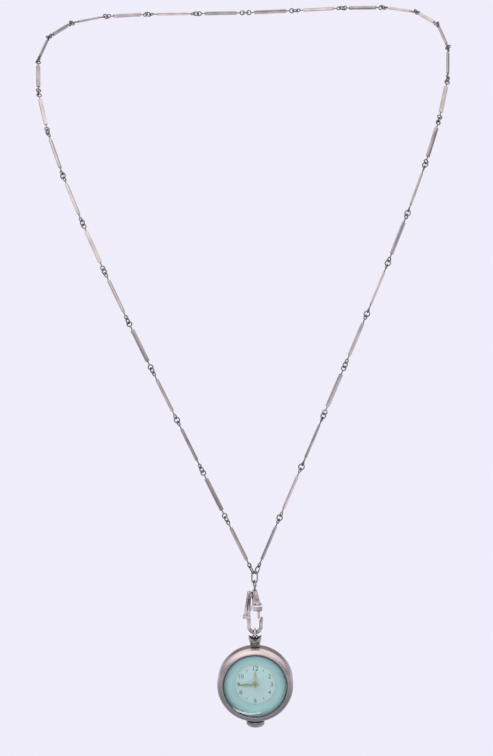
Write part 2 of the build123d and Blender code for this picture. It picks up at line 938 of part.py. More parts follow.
crown_base = case_radius + crown_gap
with BuildPart() as crown:
    with BuildSketch(stem_place(crown_base)):
        ridges = []
        for step in range(2 * crown_flutes):
            reach = crown_radius - crown_flute_depth * (step % 2)
            turn = math.pi * step / crown_flutes
            ridges.append((reach * math.cos(turn), reach * math.sin(turn)))
        Polygon(*ridges, align=None)
    extrude(amount=crown_height - crown_edge)
    with BuildSketch(stem_place(crown_base + crown_height - crown_edge)):
        Circle(crown_radius - crown_flute_depth)
    extrude(amount=crown_edge, taper=crown_taper)
    with BuildSketch(stem_place(crown_base)):
        small_bore(crown_bore_radius)
    extrude(amount=crown_bore_depth, mode=Mode.SUBTRACT)
    with BuildSketch(stem_place(crown_base)):
        small_disc(stem_radius)
    extrude(amount=crown_bore_depth + stem_grip, mode=Mode.SUBTRACT)
finish(crown, "crown")

with BuildPart() as winding_stem:
    with BuildSketch(stem_place(stem_inner)):
        small_disc(stem_radius)
    extrude(amount=crown_base + crown_bore_depth + stem_grip - stem_inner)
finish(winding_stem, "winding_stem")

clutch_place = winding_pinion_place + winding_pinion_length + clutch_gap
with BuildPart() as winding_pinion:
    with BuildSketch(stem_place(winding_pinion_place)):
        RegularPolygon(winding_pinion_radius, wheel_sides)
    extrude(amount=winding_pinion_length)
    with BuildSketch(stem_place(winding_pinion_place)):
        small_bore(stem_radius)
    extrude(amount=winding_pinion_length, mode=Mode.SUBTRACT)
finish(winding_pinion, "winding_pinion")

with BuildPart() as sliding_pinion:
    with BuildSketch(stem_place(clutch_place)):
        small_disc(clutch_radius)
    extrude(amount=clutch_length)
    with BuildSketch(stem_place(clutch_place)):
        small_bore(stem_radius)
    extrude(amount=clutch_length, mode=Mode.SUBTRACT)
finish(sliding_pinion, "sliding_pinion")

# Movement: holder ring, plate and bridges

with BuildPart() as movement_ring:
    with BuildSketch(face_plane(holder_back)):
        RegularPolygon(back_spigot - back_wall - fit_gap, case_sides)
        RegularPolygon(
            movement_radius + holder_gap, case_sides, major_radius=False, mode=Mode.SUBTRACT
        )
    extrude(amount=plate_front - holder_back)
    with BuildSketch(stem_place(0)):
        small_disc(tube_bore)
    extrude(amount=case_radius, mode=Mode.SUBTRACT)
finish(movement_ring, "movement_ring")

keyless_width = 2 * (winding_pinion_radius + holder_gap)
keyless_length = movement_radius - winding_pinion_place + holder_gap
keyless_middle = winding_pinion_place - holder_gap + keyless_length
with BuildPart() as mainplate:
    with BuildSketch(face_plane(plate_back)):
        RegularPolygon(movement_radius, case_sides)
        with Locations((0, -keyless_middle)):
            Rectangle(keyless_width, 2 * keyless_length, mode=Mode.SUBTRACT)
    extrude(amount=plate_front - plate_back)
    with BuildSketch(face_plane(plate_front - motion_recess)):
        RegularPolygon(hour_wheel_radius + holder_gap, wheel_sides)
        with Locations((0, -motion_place)):
            RegularPolygon(minute_wheel_radius + holder_gap, wheel_sides)
    extrude(amount=motion_recess, mode=Mode.SUBTRACT)
    with BuildSketch(face_plane(plate_back)):
        RegularPolygon(centre_arbor_radius + running_gap, arbor_sides, major_radius=False)
    extrude(amount=plate_front, mode=Mode.SUBTRACT)
finish(mainplate, "mainplate")

bridge_radius = movement_radius - holder_gap
bridge_back = bridge_front - bridge_thickness


def bridge(shares, foot_shares, arbors):
    """A bridge over part of the movement, from shares of its radius, with a foot on the plate."""
    with BuildPart() as piece:
        for outline, back, front in (
            (shares, bridge_back, bridge_front),
            (foot_shares, bridge_back, plate_back),
        ):
            with BuildSketch(face_plane(back)):
                RegularPolygon(bridge_radius, case_sides)
                corners = [(x * bridge_radius, z * bridge_radius) for x, z in outline]
                Polygon(*corners, align=None, mode=Mode.INTERSECT)
                with Locations((0, -keyless_middle)):
                    Rectangle(keyless_width, 2 * keyless_length, mode=Mode.SUBTRACT)
            extrude(amount=front - back)
        with BuildSketch(face_plane(bridge_back)):
            for place, radius in arbors:
                with Locations(place):
                    RegularPolygon(radius + running_gap, arbor_sides, major_radius=False)
        extrude(amount=bridge_thickness, mode=Mode.SUBTRACT)
    return piece.part


centre_place = (0, 0)
with BuildPart() as barrel_bridge:
    arbors = [(barrel_place, barrel_arbor_radius), (crown_wheel_place, barrel_arbor_radius)]
    add(bridge(barrel_bridge_shares, barrel_foot_shares, arbors))
finish(barrel_bridge, "barrel_bridge")

with BuildPart() as train_bridge:
    places = (third_place, fourth_place, escape_place)
    arbors = [(place, arbor_radius) for place in places]
    arbors.append((centre_place, centre_arbor_radius))
    add(bridge(train_bridge_shares, train_foot_shares, arbors))
finish(train_bridge, "train_bridge")

with BuildPart() as balance_cock:
    add(bridge(balance_cock_shares, balance_foot_shares, [(balance_place, arbor_radius)]))
finish(balance_cock, "balance_cock")

# Going train

arbor_front = plate_back - running_gap


def wheel_level(back, radius):
    return radius - mesh_gap, back, back + wheel_thickness


with BuildPart() as barrel:
    with BuildSketch(face_plane(barrel_back)):
        with Locations(barrel_place):
            RegularPolygon(barrel_radius - mesh_gap, wheel_sides)
            RegularPolygon(barrel_radius - barrel_wall, wheel_sides, mode=Mode.SUBTRACT)
    extrude(amount=barrel_front - barrel_back)
    with BuildSketch(face_plane(barrel_back)):
        with Locations(barrel_place):
            RegularPolygon(barrel_radius - barrel_wall, wheel_sides)
            RegularPolygon(
                barrel_arbor_radius + running_gap,
                arbor_sides,
                major_radius=False,
                mode=Mode.SUBTRACT,
            )
    extrude(amount=barrel_floor)
finish(barrel, "barrel")

with BuildPart() as mainspring:
    with BuildSketch(face_plane(barrel_back + barrel_floor + spring_play)):
        with Locations(barrel_place):
            RegularPolygon(barrel_radius - barrel_wall - spring_play, wheel_sides)
            RegularPolygon(barrel_arbor_radius + spring_play, arbor_sides, mode=Mode.SUBTRACT)
    extrude(amount=barrel_front - barrel_back - barrel_floor - 2 * spring_play)
finish(mainspring, "mainspring")

keyless_front = bridge_back - keyless_wheel_gap
keyless_back = keyless_front - keyless_wheel_thickness
with BuildPart() as barrel_arbor:
    add(stacked(barrel_place, [], [(barrel_arbor_radius, keyless_back, arbor_front)]))
finish(barrel_arbor, "barrel_arbor")

with BuildPart() as ratchet_wheel:
    with BuildSketch(face_plane(keyless_back)):
        with Locations(barrel_place):
            RegularPolygon(ratchet_radius - mesh_gap, wheel_sides)
            RegularPolygon(barrel_arbor_radius, arbor_sides, mode=Mode.SUBTRACT)
    extrude(amount=keyless_wheel_thickness)
finish(ratchet_wheel, "ratchet_wheel")

with BuildPart() as crown_wheel:
    add(
        stacked(
            crown_wheel_place,
            [(crown_wheel_radius - mesh_gap, keyless_back, keyless_front)],
            [(barrel_arbor_radius, keyless_front, bridge_front)],
        )
    )
finish(crown_wheel, "crown_wheel")

click_reach = ratchet_radius + click_gap + click_width / 2
click_turn = math.radians(click_angle)
click_place = (
    barrel_place[0] + click_reach * math.cos(click_turn),
    barrel_place[1] + click_reach * math.sin(click_turn),
)
with BuildPart() as click:
    with BuildSketch(face_plane(keyless_back)):
        with Locations(click_place):
            Rectangle(click_length, click_width, rotation=click_angle + 90)
    extrude(amount=bridge_back - keyless_back)
finish(click, "click")

with BuildPart() as centre_wheel:
    add(
        stacked(
            centre_place,
            [wheel_level(low_wheel_back, centre_wheel_radius)],
            [
                (centre_pinion_radius - mesh_gap, barrel_back, barrel_front),
                (centre_arbor_radius, bridge_back, minute_hand_front),
            ],
        )
    )
finish(centre_wheel, "centre_wheel")

low_pinion_back = low_wheel_back + (wheel_thickness - pinion_length) / 2
high_pinion_back = high_wheel_back + (wheel_thickness - pinion_length) / 2
low_pinion_front = low_pinion_back + pinion_length
high_pinion_front = high_pinion_back + pinion_length
with BuildPart() as third_wheel:
    add(
        stacked(
            third_place,
            [wheel_level(high_wheel_back, third_wheel_radius)],
            [
                (third_pinion_radius - mesh_gap, low_pinion_back, low_pinion_front),
                (arbor_radius, bridge_back, arbor_front),
            ],
        )
    )
finish(third_wheel, "third_wheel")

with BuildPart() as fourth_wheel:
    add(
        stacked(
            fourth_place,
            [wheel_level(low_wheel_back, fourth_wheel_radius)],
            [
                (fourth_pinion_radius - mesh_gap, high_pinion_back, high_pinion_front),
                (arbor_radius, bridge_back, arbor_front),
            ],
        )
    )
finish(fourth_wheel, "fourth_wheel")

with BuildPart() as escape_wheel:
    add(
        stacked(
            escape_place,
            [wheel_level(escape_wheel_back, escape_wheel_radius)],
            [
                (escape_pinion_radius - mesh_gap, low_pinion_back, low_pinion_front),
                (arbor_radius, bridge_back, arbor_front),
            ],
        )
    )
finish(escape_wheel, "escape_wheel")

fork_length = pallet_place[1] - balance_place[1] - fork_gap
with BuildPart() as pallet_fork:
    with BuildSketch(face_plane(escape_wheel_back)):
        with Locations(pallet_place):
            Rectangle(2 * fork_arm_reach, fork_width)
        with Locations((pallet_place[0], pallet_place[1] - fork_length / 2)):
            Rectangle(fork_width, fork_length)
        with Locations((pallet_place[0] - fork_arm_reach, pallet_place[1] + fork_arm_rise / 2)):
            Rectangle(fork_width, fork_arm_rise + fork_width)
        with Locations((pallet_place[0] + fork_arm_reach, pallet_place[1] + fork_arm_rise / 2)):
            Rectangle(fork_width, fork_arm_rise + fork_width)
    extrude(amount=wheel_thickness)
    add(stacked(pallet_place, [], [(arbor_radius, bridge_front + running_gap, arbor_front)]))
finish(pallet_fork, "pallet_fork")

with BuildPart() as balance_wheel:
    with BuildSketch(face_plane(balance_back)):
        with Locations(balance_place):
            RegularPolygon(balance_radius, wheel_sides)
            RegularPolygon(balance_radius - balance_rim, wheel_sides, mode=Mode.SUBTRACT)
            Rectangle(balance_arm, 2 * balance_radius - balance_rim)
    extrude(amount=balance_thickness)
    add(
        stacked(
            balance_place,
            [(roller_radius, roller_back, roller_back + wheel_thickness)],
            [(arbor_radius, bridge_back, arbor_front)],
        )
    )
finish(balance_wheel, "balance_wheel")

with BuildPart() as hairspring:
    with BuildSketch(face_plane(hairspring_back)):
        with Locations(balance_place):
            RegularPolygon(hairspring_radius, wheel_sides)
            RegularPolygon(hairspring_inner, arbor_sides, mode=Mode.SUBTRACT)
    extrude(amount=hairspring_width)
finish(hairspring, "hairspring")

# Motion work

pinion_front = cannon_pinion_back + cannon_pinion_length
with BuildPart() as cannon_pinion:
    with BuildSketch(face_plane(cannon_pinion_back)):
        RegularPolygon(cannon_pinion_radius - mesh_gap, small_sides)
    extrude(amount=cannon_pinion_length)
    with BuildSketch(face_plane(pinion_front)):
        RegularPolygon(cannon_pipe_radius, small_sides)
    extrude(amount=minute_hand_front - pinion_front)
    with BuildSketch(face_plane(cannon_pinion_back)):
        RegularPolygon(centre_arbor_radius + running_gap, arbor_sides, major_radius=False)
    extrude(amount=minute_hand_front, mode=Mode.SUBTRACT)
finish(cannon_pinion, "cannon_pinion")

with BuildPart() as minute_wheel:
    add(
        stacked(
            (0, -motion_place),
            [(minute_wheel_radius - mesh_gap, cannon_pinion_back, pinion_front)],
            [(minute_pinion_radius - mesh_gap, pinion_front, pinion_front + minute_pinion_length)],
        )
    )
finish(minute_wheel, "minute_wheel")

with BuildPart() as hour_wheel:
    with BuildSketch(face_plane(hour_wheel_back)):
        RegularPolygon(hour_wheel_radius - mesh_gap, wheel_sides)
    extrude(amount=hour_wheel_thickness)
    with BuildSketch(face_plane(hour_wheel_back)):
        RegularPolygon(hour_pipe_radius, small_sides)
    extrude(amount=hour_hand_front - hour_wheel_back)
    with BuildSketch(face_plane(hour_wheel_back)):
        RegularPolygon(hour_pipe_bore, small_sides)
    extrude(amount=hour_hand_front, mode=Mode.SUBTRACT)
finish(hour_wheel, "hour_wheel")
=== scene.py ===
# %% [markdown]
# # A pendant watch on a bar-link chain
# This lesson dresses a measured model of a silver pendant watch. The model comes first, as a
# frame of named nodes. Each step then makes one piece over it, or gives a node its finish.
# Everything is in metres, in the model's own frame: the chain's nape is the origin and the
# watch hangs in front, facing -Y.

# %% Load the measured model
import bmesh
import bpy
import json
import math
import numpy as np
from mathutils import Matrix, Vector


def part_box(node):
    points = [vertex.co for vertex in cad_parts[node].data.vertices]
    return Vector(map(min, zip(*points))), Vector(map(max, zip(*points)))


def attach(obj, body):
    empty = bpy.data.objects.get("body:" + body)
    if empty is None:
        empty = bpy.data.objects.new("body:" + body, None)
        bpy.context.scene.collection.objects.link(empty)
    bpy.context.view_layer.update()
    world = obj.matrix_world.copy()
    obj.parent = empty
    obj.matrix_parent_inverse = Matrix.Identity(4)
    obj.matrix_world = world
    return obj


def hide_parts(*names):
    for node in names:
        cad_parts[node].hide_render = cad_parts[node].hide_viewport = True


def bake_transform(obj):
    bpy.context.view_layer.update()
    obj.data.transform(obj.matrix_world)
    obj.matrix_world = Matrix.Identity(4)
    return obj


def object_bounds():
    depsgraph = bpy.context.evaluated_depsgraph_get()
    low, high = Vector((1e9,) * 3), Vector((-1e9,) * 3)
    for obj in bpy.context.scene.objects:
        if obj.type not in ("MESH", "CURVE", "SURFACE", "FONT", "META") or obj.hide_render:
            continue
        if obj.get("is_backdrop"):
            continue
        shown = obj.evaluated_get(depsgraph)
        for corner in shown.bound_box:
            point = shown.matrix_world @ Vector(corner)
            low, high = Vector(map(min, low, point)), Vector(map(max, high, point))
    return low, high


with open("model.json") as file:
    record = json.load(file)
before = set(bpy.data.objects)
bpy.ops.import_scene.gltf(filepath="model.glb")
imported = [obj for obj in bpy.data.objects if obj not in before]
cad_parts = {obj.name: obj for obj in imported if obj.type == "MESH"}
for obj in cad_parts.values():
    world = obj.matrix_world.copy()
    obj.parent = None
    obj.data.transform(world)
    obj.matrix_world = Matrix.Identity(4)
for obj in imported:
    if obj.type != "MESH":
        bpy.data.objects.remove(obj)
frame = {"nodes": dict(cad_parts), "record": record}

mm = 0.001
cad_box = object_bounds()
print("nodes", len(frame["nodes"]), "box", [round(s / mm, 1) for s in cad_box[1] - cad_box[0]])

# %% [markdown]
# ## Where things are
# A piece is easiest to place when its middle is known. Boxes of the model's own nodes give
# those middles, so nothing has to be fitted by eye: the band gives the watch's middle, and the
# fixed half of the clasp gives the line that everything hangs on.

# %% Read the middles from the model
def middle_of(node):
    low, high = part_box(node)
    return (low + high) / 2


watch = middle_of("case_middle")
hang_x, hang_y = watch.x, watch.y
clasp_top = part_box("clasp_body")[1].z
bow = middle_of("bow_ring")
print("watch", [round(c / mm, 2) for c in watch], "clasp top", round(clasp_top / mm, 2))

# %% [markdown]
# ## The camera
# The photograph was taken from about a metre away, a little above the watch and looking
# slightly down. The chain's known places fix that view: the camera's turn, its lean and its
# distance were fitted to them until the middles of the bars fell on the photograph's own. A
# helper puts the camera, and everything after it, into the scene.

# %% Set the camera up
def placed(name, data):
    """A new object in the scene, made of a mesh, a curve, a lamp or a camera."""
    holder = bpy.data.objects.new(name, data)
    bpy.context.scene.collection.objects.link(holder)
    return holder


view_yaw, view_roll = math.radians(1.24), math.radians(-0.4)
view_down = math.radians(10.38)
look = Vector((
    -math.sin(view_yaw) * math.cos(view_down),
    math.cos(view_yaw) * math.cos(view_down),
    -math.sin(view_down),
)).normalized()
level = Vector((math.cos(view_yaw), math.sin(view_yaw), 0))
upright = level.cross(look)
right = level * math.cos(view_roll) + upright * math.sin(view_roll)
up = upright * math.cos(view_roll) - level * math.sin(view_roll)

photo_width, photo_height, photo_focal = 493, 756, 2857.14
hang_point = Vector((hang_x, hang_y, -187.04 * mm))
seen_x, seen_y, seen_far = 254.6, 573.7, 1000 * mm
eye = hang_point - look * seen_far
eye -= right * ((seen_x - photo_width / 2) / photo_focal * seen_far)
eye += up * ((seen_y - photo_height / 2) / photo_focal * seen_far)

camera = placed("camera", bpy.data.cameras.new("camera"))
camera.data.sensor_width = 36
camera.data.lens = photo_focal * camera.data.sensor_width / photo_height
camera.data.clip_start = 0.01
turn = Matrix((right, up, -look)).transposed()
camera.matrix_world = Matrix.Translation(eye) @ turn.to_4x4()
bpy.context.scene.camera = camera
print("camera", [round(c / mm, 1) for c in eye], "lens", round(camera.data.lens, 2))

# %% [markdown]
# ## Nodes and colours
# Every finish below is a small tree of shader nodes. One function adds a node with its
# settings and whatever feeds it. Another turns a colour written as on screen into the linear
# light that the sockets take, and the last ones start a finish and end it. The four kinds of
# node that come up most have short names.

# %% Helpers for the finishes
MATH, MIX, REMAP, NOISE = [f"ShaderNode{kind}" for kind in ("Math", "Mix", "MapRange", "TexNoise")]


def add(tree, kind, feeds=None, **settings):
    """Add a node with its settings; a node that feeds a socket gives its first output."""
    node = tree.nodes.new(kind)
    for name, value in settings.items():
        setattr(node, name, value)
    for socket, value in (feeds or {}).items():
        if isinstance(value, bpy.types.Node):
            value = value.outputs[0]
        if isinstance(value, bpy.types.NodeSocket):
            tree.links.new(value, node.inputs[socket])
        else:
            node.inputs[socket].default_value = value
    return node


def linear(code):
    """A colour written as sRGB hex, as linear light."""
    shares = [int(code[place:place + 2], 16) / 255 for place in (0, 2, 4)]
    return [s / 12.92 if s <= 0.04045 else ((s + 0.055) / 1.055) ** 2.4 for s in shares] + [1]


def per(size):
    """The scale that makes a pattern's features about this long."""
    return 1 / size


def emptied(block):
    """The tree of a material or of the world, with nothing in it yet."""
    block.use_nodes = True
    block.node_tree.nodes.clear()
    return block.node_tree


def begin(name):
    """A new material, its empty tree, and the place of each point on its object."""
    material = bpy.data.materials.new(name)
    tree = emptied(material)
    return material, tree, add(tree, "ShaderNodeTexCoord").outputs["Object"]


def clouded(tree, place, patch, colour, other, detail=3.0):
    """Two near colours in soft patches of about one size."""
    cloud = add(tree, NOISE, {"Vector": place, "Scale": per(patch), "Detail": detail})
    mix = add(tree, MIX, {0: cloud, 6: linear(colour), 7: linear(other)}, data_type="RGBA")
    return mix.outputs[2]


def surfaced(material, colour, rough, relief, bite, deep, metal=0.0):
    """End a finish: its colour and roughness, and a relief with its strength and depth."""
    tree = material.node_tree
    bump = add(tree, "ShaderNodeBump", {"Strength": bite, "Distance": deep, "Height": relief})
    skin = add(tree, "ShaderNodeBsdfPrincipled", {
        "Base Color": colour, "Metallic": metal, "Roughness": rough, "Normal": bump,
    })
    add(tree, "ShaderNodeOutputMaterial", {"Surface": skin})
    return material


# %% [markdown]
# ## Floor, world and lamps
# The watch hangs over a plain pale floor in soft light. The background is the floor's and the
# world's own colour, shown to camera and glass rays, and on the floor to mirror rays too, so it
# stays pale without flooding the silver with light. Part of the floor stays an ordinary matt
# surface, which keeps the shadow.

# %% Make the floor and the world
background_colour, floor_drop, floor_half = linear("F0EEFB"), 60 * mm, 14.0
floor_z = cad_box[0].z - floor_drop
quarters = ((-1, -1), (1, -1), (1, 1), (-1, 1))
corners = [(x * floor_half, y * floor_half, floor_z) for x, y in quarters]
floor_mesh = bpy.data.meshes.new("floor")
floor_mesh.from_pydata(corners, [], [(0, 1, 2, 3)])
placed("floor", floor_mesh)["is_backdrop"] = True

paper = bpy.data.materials.new("matt paper floor")
tree = emptied(paper)
rays = add(tree, "ShaderNodeLightPath").outputs
direct = add(tree, MATH, {0: rays["Is Camera Ray"], 1: rays["Is Glossy Ray"]}, operation="MAXIMUM")
shown = add(tree, MATH, {0: direct, 1: rays["Is Transmission Ray"]}, operation="MAXIMUM")
plain_share = 0.7
share = add(tree, MATH, {0: shown, 1: plain_share}, operation="MULTIPLY")
# a little darker, because the lamps light it to above its own colour
matt = add(tree, "ShaderNodeBsdfDiffuse", {"Color": linear("D0CEDA")})
plain = add(tree, "ShaderNodeEmission", {"Color": background_colour})
both = add(tree, "ShaderNodeMixShader", {0: share, 1: matt, 2: plain})
add(tree, "ShaderNodeOutputMaterial", {"Surface": both})
floor_mesh.materials.append(paper)

world = bpy.data.worlds.new("studio")
bpy.context.scene.world = world
tree = emptied(world)
rays = add(tree, "ShaderNodeLightPath").outputs
shown = add(tree, MATH, {0: rays["Is Camera Ray"], 1: rays["Is Transmission Ray"]}, operation="MAXIMUM")
place = add(tree, "ShaderNodeTexCoord").outputs["Generated"]
height = add(tree, "ShaderNodeSeparateXYZ", {0: place}).outputs["Z"]
lift = add(tree, REMAP, {
    "Value": height, "From Min": 0.05, "From Max": 0.75,
}, interpolation_type="SMOOTHSTEP")
room = add(tree, MIX, {0: lift, 6: linear("8C8A92"), 7: linear("FFFDFC")}, data_type="RGBA")
seen = add(tree, MIX, {0: shown, 6: room.outputs[2], 7: background_colour}, data_type="RGBA")
sky = add(tree, "ShaderNodeBackground", {"Color": seen.outputs[2]})
add(tree, "ShaderNodeOutputWorld", {"Surface": sky})
bpy.context.scene.view_settings.view_transform = "Standard"


# %% Hang the lamps
def lamp(name, kind, towards, energy, **settings):
    """A lamp that shines along a direction; a sun's angle or an area's size sets how soft."""
    light = bpy.data.lights.new(name, kind)
    light.energy = energy
    for key, value in settings.items():
        setattr(light, key, value)
    holder = placed(name, light)
    holder.rotation_mode = "QUATERNION"
    holder.rotation_quaternion = Vector(towards).to_track_quat("-Z", "Y")
    return holder


key_way, key_spread = (0.45, 0.55, -0.9), math.radians(65)
front_way, front_spread = (-0.35, 0.9, -0.25), math.radians(60)
card_way, card_gap = Vector((0.266, 0.311, 0.911)), 60 * mm
key = lamp("key from the upper left", "SUN", key_way, 1.3, angle=key_spread)
lamp("gleam of the key", "SUN", key_way, 0.2, angle=key_spread)
front = lamp("fill from the front", "SUN", front_way, 1.5, angle=front_spread)
# these two light the silver but aren't mirrored in it; the gleam is the key's mirror image
key.visible_glossy = front.visible_glossy = False
card_size = {"shape": "RECTANGLE", "size": 58 * mm, "size_y": 11 * mm}
card = lamp("bright card below", "AREA", card_way, 0.017, **card_size)
card.location = watch - card_way * card_gap
print("floor at", round(floor_z / mm, 1), "mm, soft lamps and a card")

# %% [markdown]
# ## Silver
# The chain, clasp and case are sterling silver that has been handled for decades. Rubbed
# faces stay bright and a little warm, air greys the rest, and sulphur blackens the corners that
# no finger reaches. So the colour mixes a bright and a dull silver in soft blotches a few
# millimetres wide. It darkens where the shape closes in on itself or on a nearby part, which is
# part tarnish and part painted shade, and it greys the faces that turn downward as painted
# shade. Fine wear scratches would be far thinner than a pixel, so they are drawn coarser, as
# stretched noise in roughness and bump.

# %% Silver finish
def silver(name, bright, dull, tarnish, rough, blotch, close, toned=0.0, shade_below=0.0, reach=1.0):
    """Worn silver: bright and dull blotches, painted shade on the undersides, tarnish and painted shade
    in the close corners.
    """
    material, tree, place = begin(name)
    scratch = 0.3 * mm
    patches = add(tree, NOISE, {"Vector": place, "Scale": per(blotch), "Detail": 3.0})
    patchy = add(tree, REMAP, {
        "Value": patches, "From Min": 0.36, "From Max": 0.64, "To Max": 1 - toned - shade_below,
    })
    tone = add(tree, "ShaderNodeAttribute", attribute_name="tone")
    toned_by = add(tree, MATH, {0: tone.outputs["Fac"], 1: toned, 2: patchy}, operation="MULTIPLY_ADD")
    # painted shade: the faces that turn downward are greyed towards the dull silver
    facing = add(tree, "ShaderNodeSeparateXYZ", {0: add(tree, "ShaderNodeTexCoord").outputs["Normal"]})
    painted_underside_shade = add(tree, REMAP, {
        "Value": facing.outputs["Z"], "From Min": 0.5, "From Max": -0.2, "To Max": shade_below,
    }, interpolation_type="SMOOTHSTEP")
    amount = add(tree, MATH, {0: toned_by, 1: painted_underside_shade}, operation="ADD")
    skin = add(tree, MIX, {0: amount, 6: linear(bright), 7: linear(dull)}, data_type="RGBA")
    # tarnish and painted shade: the colour darkens where this part or a nearby one closes in, broken up
    # by noise
    shut = add(tree, "ShaderNodeAmbientOcclusion", {"Distance": close}, samples=8)
    tarnish_and_shade_noise = add(tree, NOISE, {"Vector": place, "Scale": per(close)})
    soft = add(tree, MATH, {0: tarnish_and_shade_noise, 1: 0.3, 2: shut.outputs["AO"]}, operation="MULTIPLY_ADD")
    closed = add(tree, REMAP, {
        "Value": soft, "From Min": reach - 0.47, "From Max": reach + 0.02, "To Min": 1.0, "To Max": 0.0,
    })
    eye = add(tree, "ShaderNodeAttribute", attribute_name="eye")
    dark = add(tree, MATH, {0: eye.outputs["Fac"], 1: closed}, operation="MAXIMUM")
    coat = add(tree, MIX, {0: dark, 6: skin.outputs[2], 7: linear(tarnish)}, data_type="RGBA")
    lean = add(tree, "ShaderNodeMapping", {
        "Vector": place, "Rotation": (0.4, 0.9, 0.3), "Scale": (1, 0.12, 1),
    })
    lines = add(tree, NOISE, {"Vector": lean, "Scale": per(scratch)})
    worn = add(tree, REMAP, {
        "Value": lines, "From Min": 0.3, "From Max": 0.7, "To Min": rough - 0.07, "To Max": rough + 0.1,
    })
    dull_rough = add(tree, MATH, {0: dark, 1: 0.3, 2: worn}, operation="MULTIPLY_ADD")
    return surfaced(material, coat.outputs[2], dull_rough, lines, 0.25, scratch * 0.15, metal=1.0)


finishes = {
    # rolled silver strip, worn by skin: pale with a pink warmth, black in the eyes
    "chain_silver": silver(
        "rolled silver chain", "F8E8E5", "9C9A97", "262623", 0.27, 5 * mm, 0.7 * mm,
        toned=0.65, shade_below=0.05, reach=1.05,
    ),
    # cast and polished silver: bright ridges, with painted shade greying the flanks and blackening
    # where the halves meet
    "clasp_silver": silver(
        "cast silver clasp", "F3E6E6", "8F8785", "171413", 0.27, 2.5 * mm, 0.9 * mm,
        shade_below=0.25, reach=1.03,
    ),
    # oxidised silver cup: grey-green all over, with rubbed edges
    "cup_silver": silver(
        "oxidised silver cup", "BDBDB8", "7A7873", "1B1A18", 0.3, 0.9 * mm, 1.2 * mm,
        shade_below=0.1, reach=1.06,
    ),
    # turned silver case: pinkish where it faces up, with painted shade greying the flanks and the faces
    # below
    "case_silver": silver(
        "turned silver case", "EBD8DA", "7D7E7A", "35312F", 0.28, 4 * mm, 0.8 * mm,
        shade_below=0.9, reach=0.95,
    ),
}
# the same silver where it is handled least, behind the bezel and in the small rings
band_silver = silver("greyed band", "A7A29F", "787976", "2C2A29", 0.3, 3 * mm, 0.9 * mm, shade_below=0.5)
ring_silver = silver(
    "darkened ring wire", "BBB6AF", "5B5C56", "1C1C1A", 0.25, 1.2 * mm, 0.9 * mm,
    toned=0.3, shade_below=0.2, reach=1.12,
)
# and where a thumb rubs it each day, with a wide painted shadow where it meets the case
crown_silver_and_shadow = silver(
    "rubbed crown", "D2CBCC", "8E8A8B", "141211", 0.3, 2 * mm, 1.8 * mm, shade_below=0.35, reach=1.15
)
print("silver finishes", sorted(finishes))

# %% [markdown]
# ## Dial, glass, gold and the works
# The dial is a lacquered plate, pale aqua, with a thin gold line at its edge. The sloping ring
# round it is a deeper teal, turned with fine steps, whose highlights are painted on as pale
# circles. Both patterns depend only on how far a point is from the middle, so one helper measures that.
# The crystal is clear acrylic. It mirrors a little at its slopes and lets the rest through, so
# it mixes a clear shader with a glossy one, more glossy where it turns away.

# %% Finishes for the dial side
def from_middle(tree, place):
    """How far a point is from the watch's middle, across its face, in metres."""
    off = add(tree, "ShaderNodeVectorMath", {0: place, 1: watch}, operation="SUBTRACT")
    flat = add(tree, "ShaderNodeVectorMath", {0: off, 1: (1, 0, 1)}, operation="MULTIPLY")
    return add(tree, "ShaderNodeVectorMath", {0: flat}, operation="LENGTH").outputs["Value"]


def dial_lacquer():
    material, tree, place = begin("aqua dial lacquer")
    far = from_middle(tree, place)
    ground = clouded(tree, place, 3 * mm, "DCE2E2", "D0D8D6")
    line_in, line_out = 7.05 * mm, 7.2 * mm
    inner = add(tree, MATH, {0: far, 1: line_in}, operation="GREATER_THAN")
    outer = add(tree, MATH, {0: far, 1: line_out}, operation="LESS_THAN")
    line = add(tree, MATH, {0: inner, 1: outer}, operation="MULTIPLY")
    painted = add(tree, MIX, {0: line, 6: ground, 7: linear("B5B48E")}, data_type="RGBA")
    grain = add(tree, NOISE, {"Vector": place, "Scale": per(0.25 * mm)})
    return surfaced(material, painted.outputs[2], 0.38, grain, 0.1, 0.02 * mm)


def surround_enamel():
    material, tree, place = begin("teal surround enamel")
    far = from_middle(tree, place)
    step_gap = 0.75 * mm
    steps = add(tree, MATH, {0: far, 1: 2 * math.pi / step_gap}, operation="MULTIPLY")
    wave = add(tree, MATH, {0: steps}, operation="SINE")
    thin = add(tree, REMAP, {"Value": wave, "From Min": 0.35, "From Max": 1.0})
    ground = clouded(tree, place, 5 * mm, "B6CFCD", "C2D8D6", detail=2.0)
    # painted highlights: pale circles along the crests of the turned steps
    painted_step_highlights = add(tree, MATH, {0: thin, 1: 0.45}, operation="MULTIPLY")
    painted = add(tree, MIX, {0: painted_step_highlights, 6: ground, 7: linear("E6F1F0")}, data_type="RGBA")
    return surfaced(material, painted.outputs[2], 0.3, wave, 0.3, 0.03 * mm)


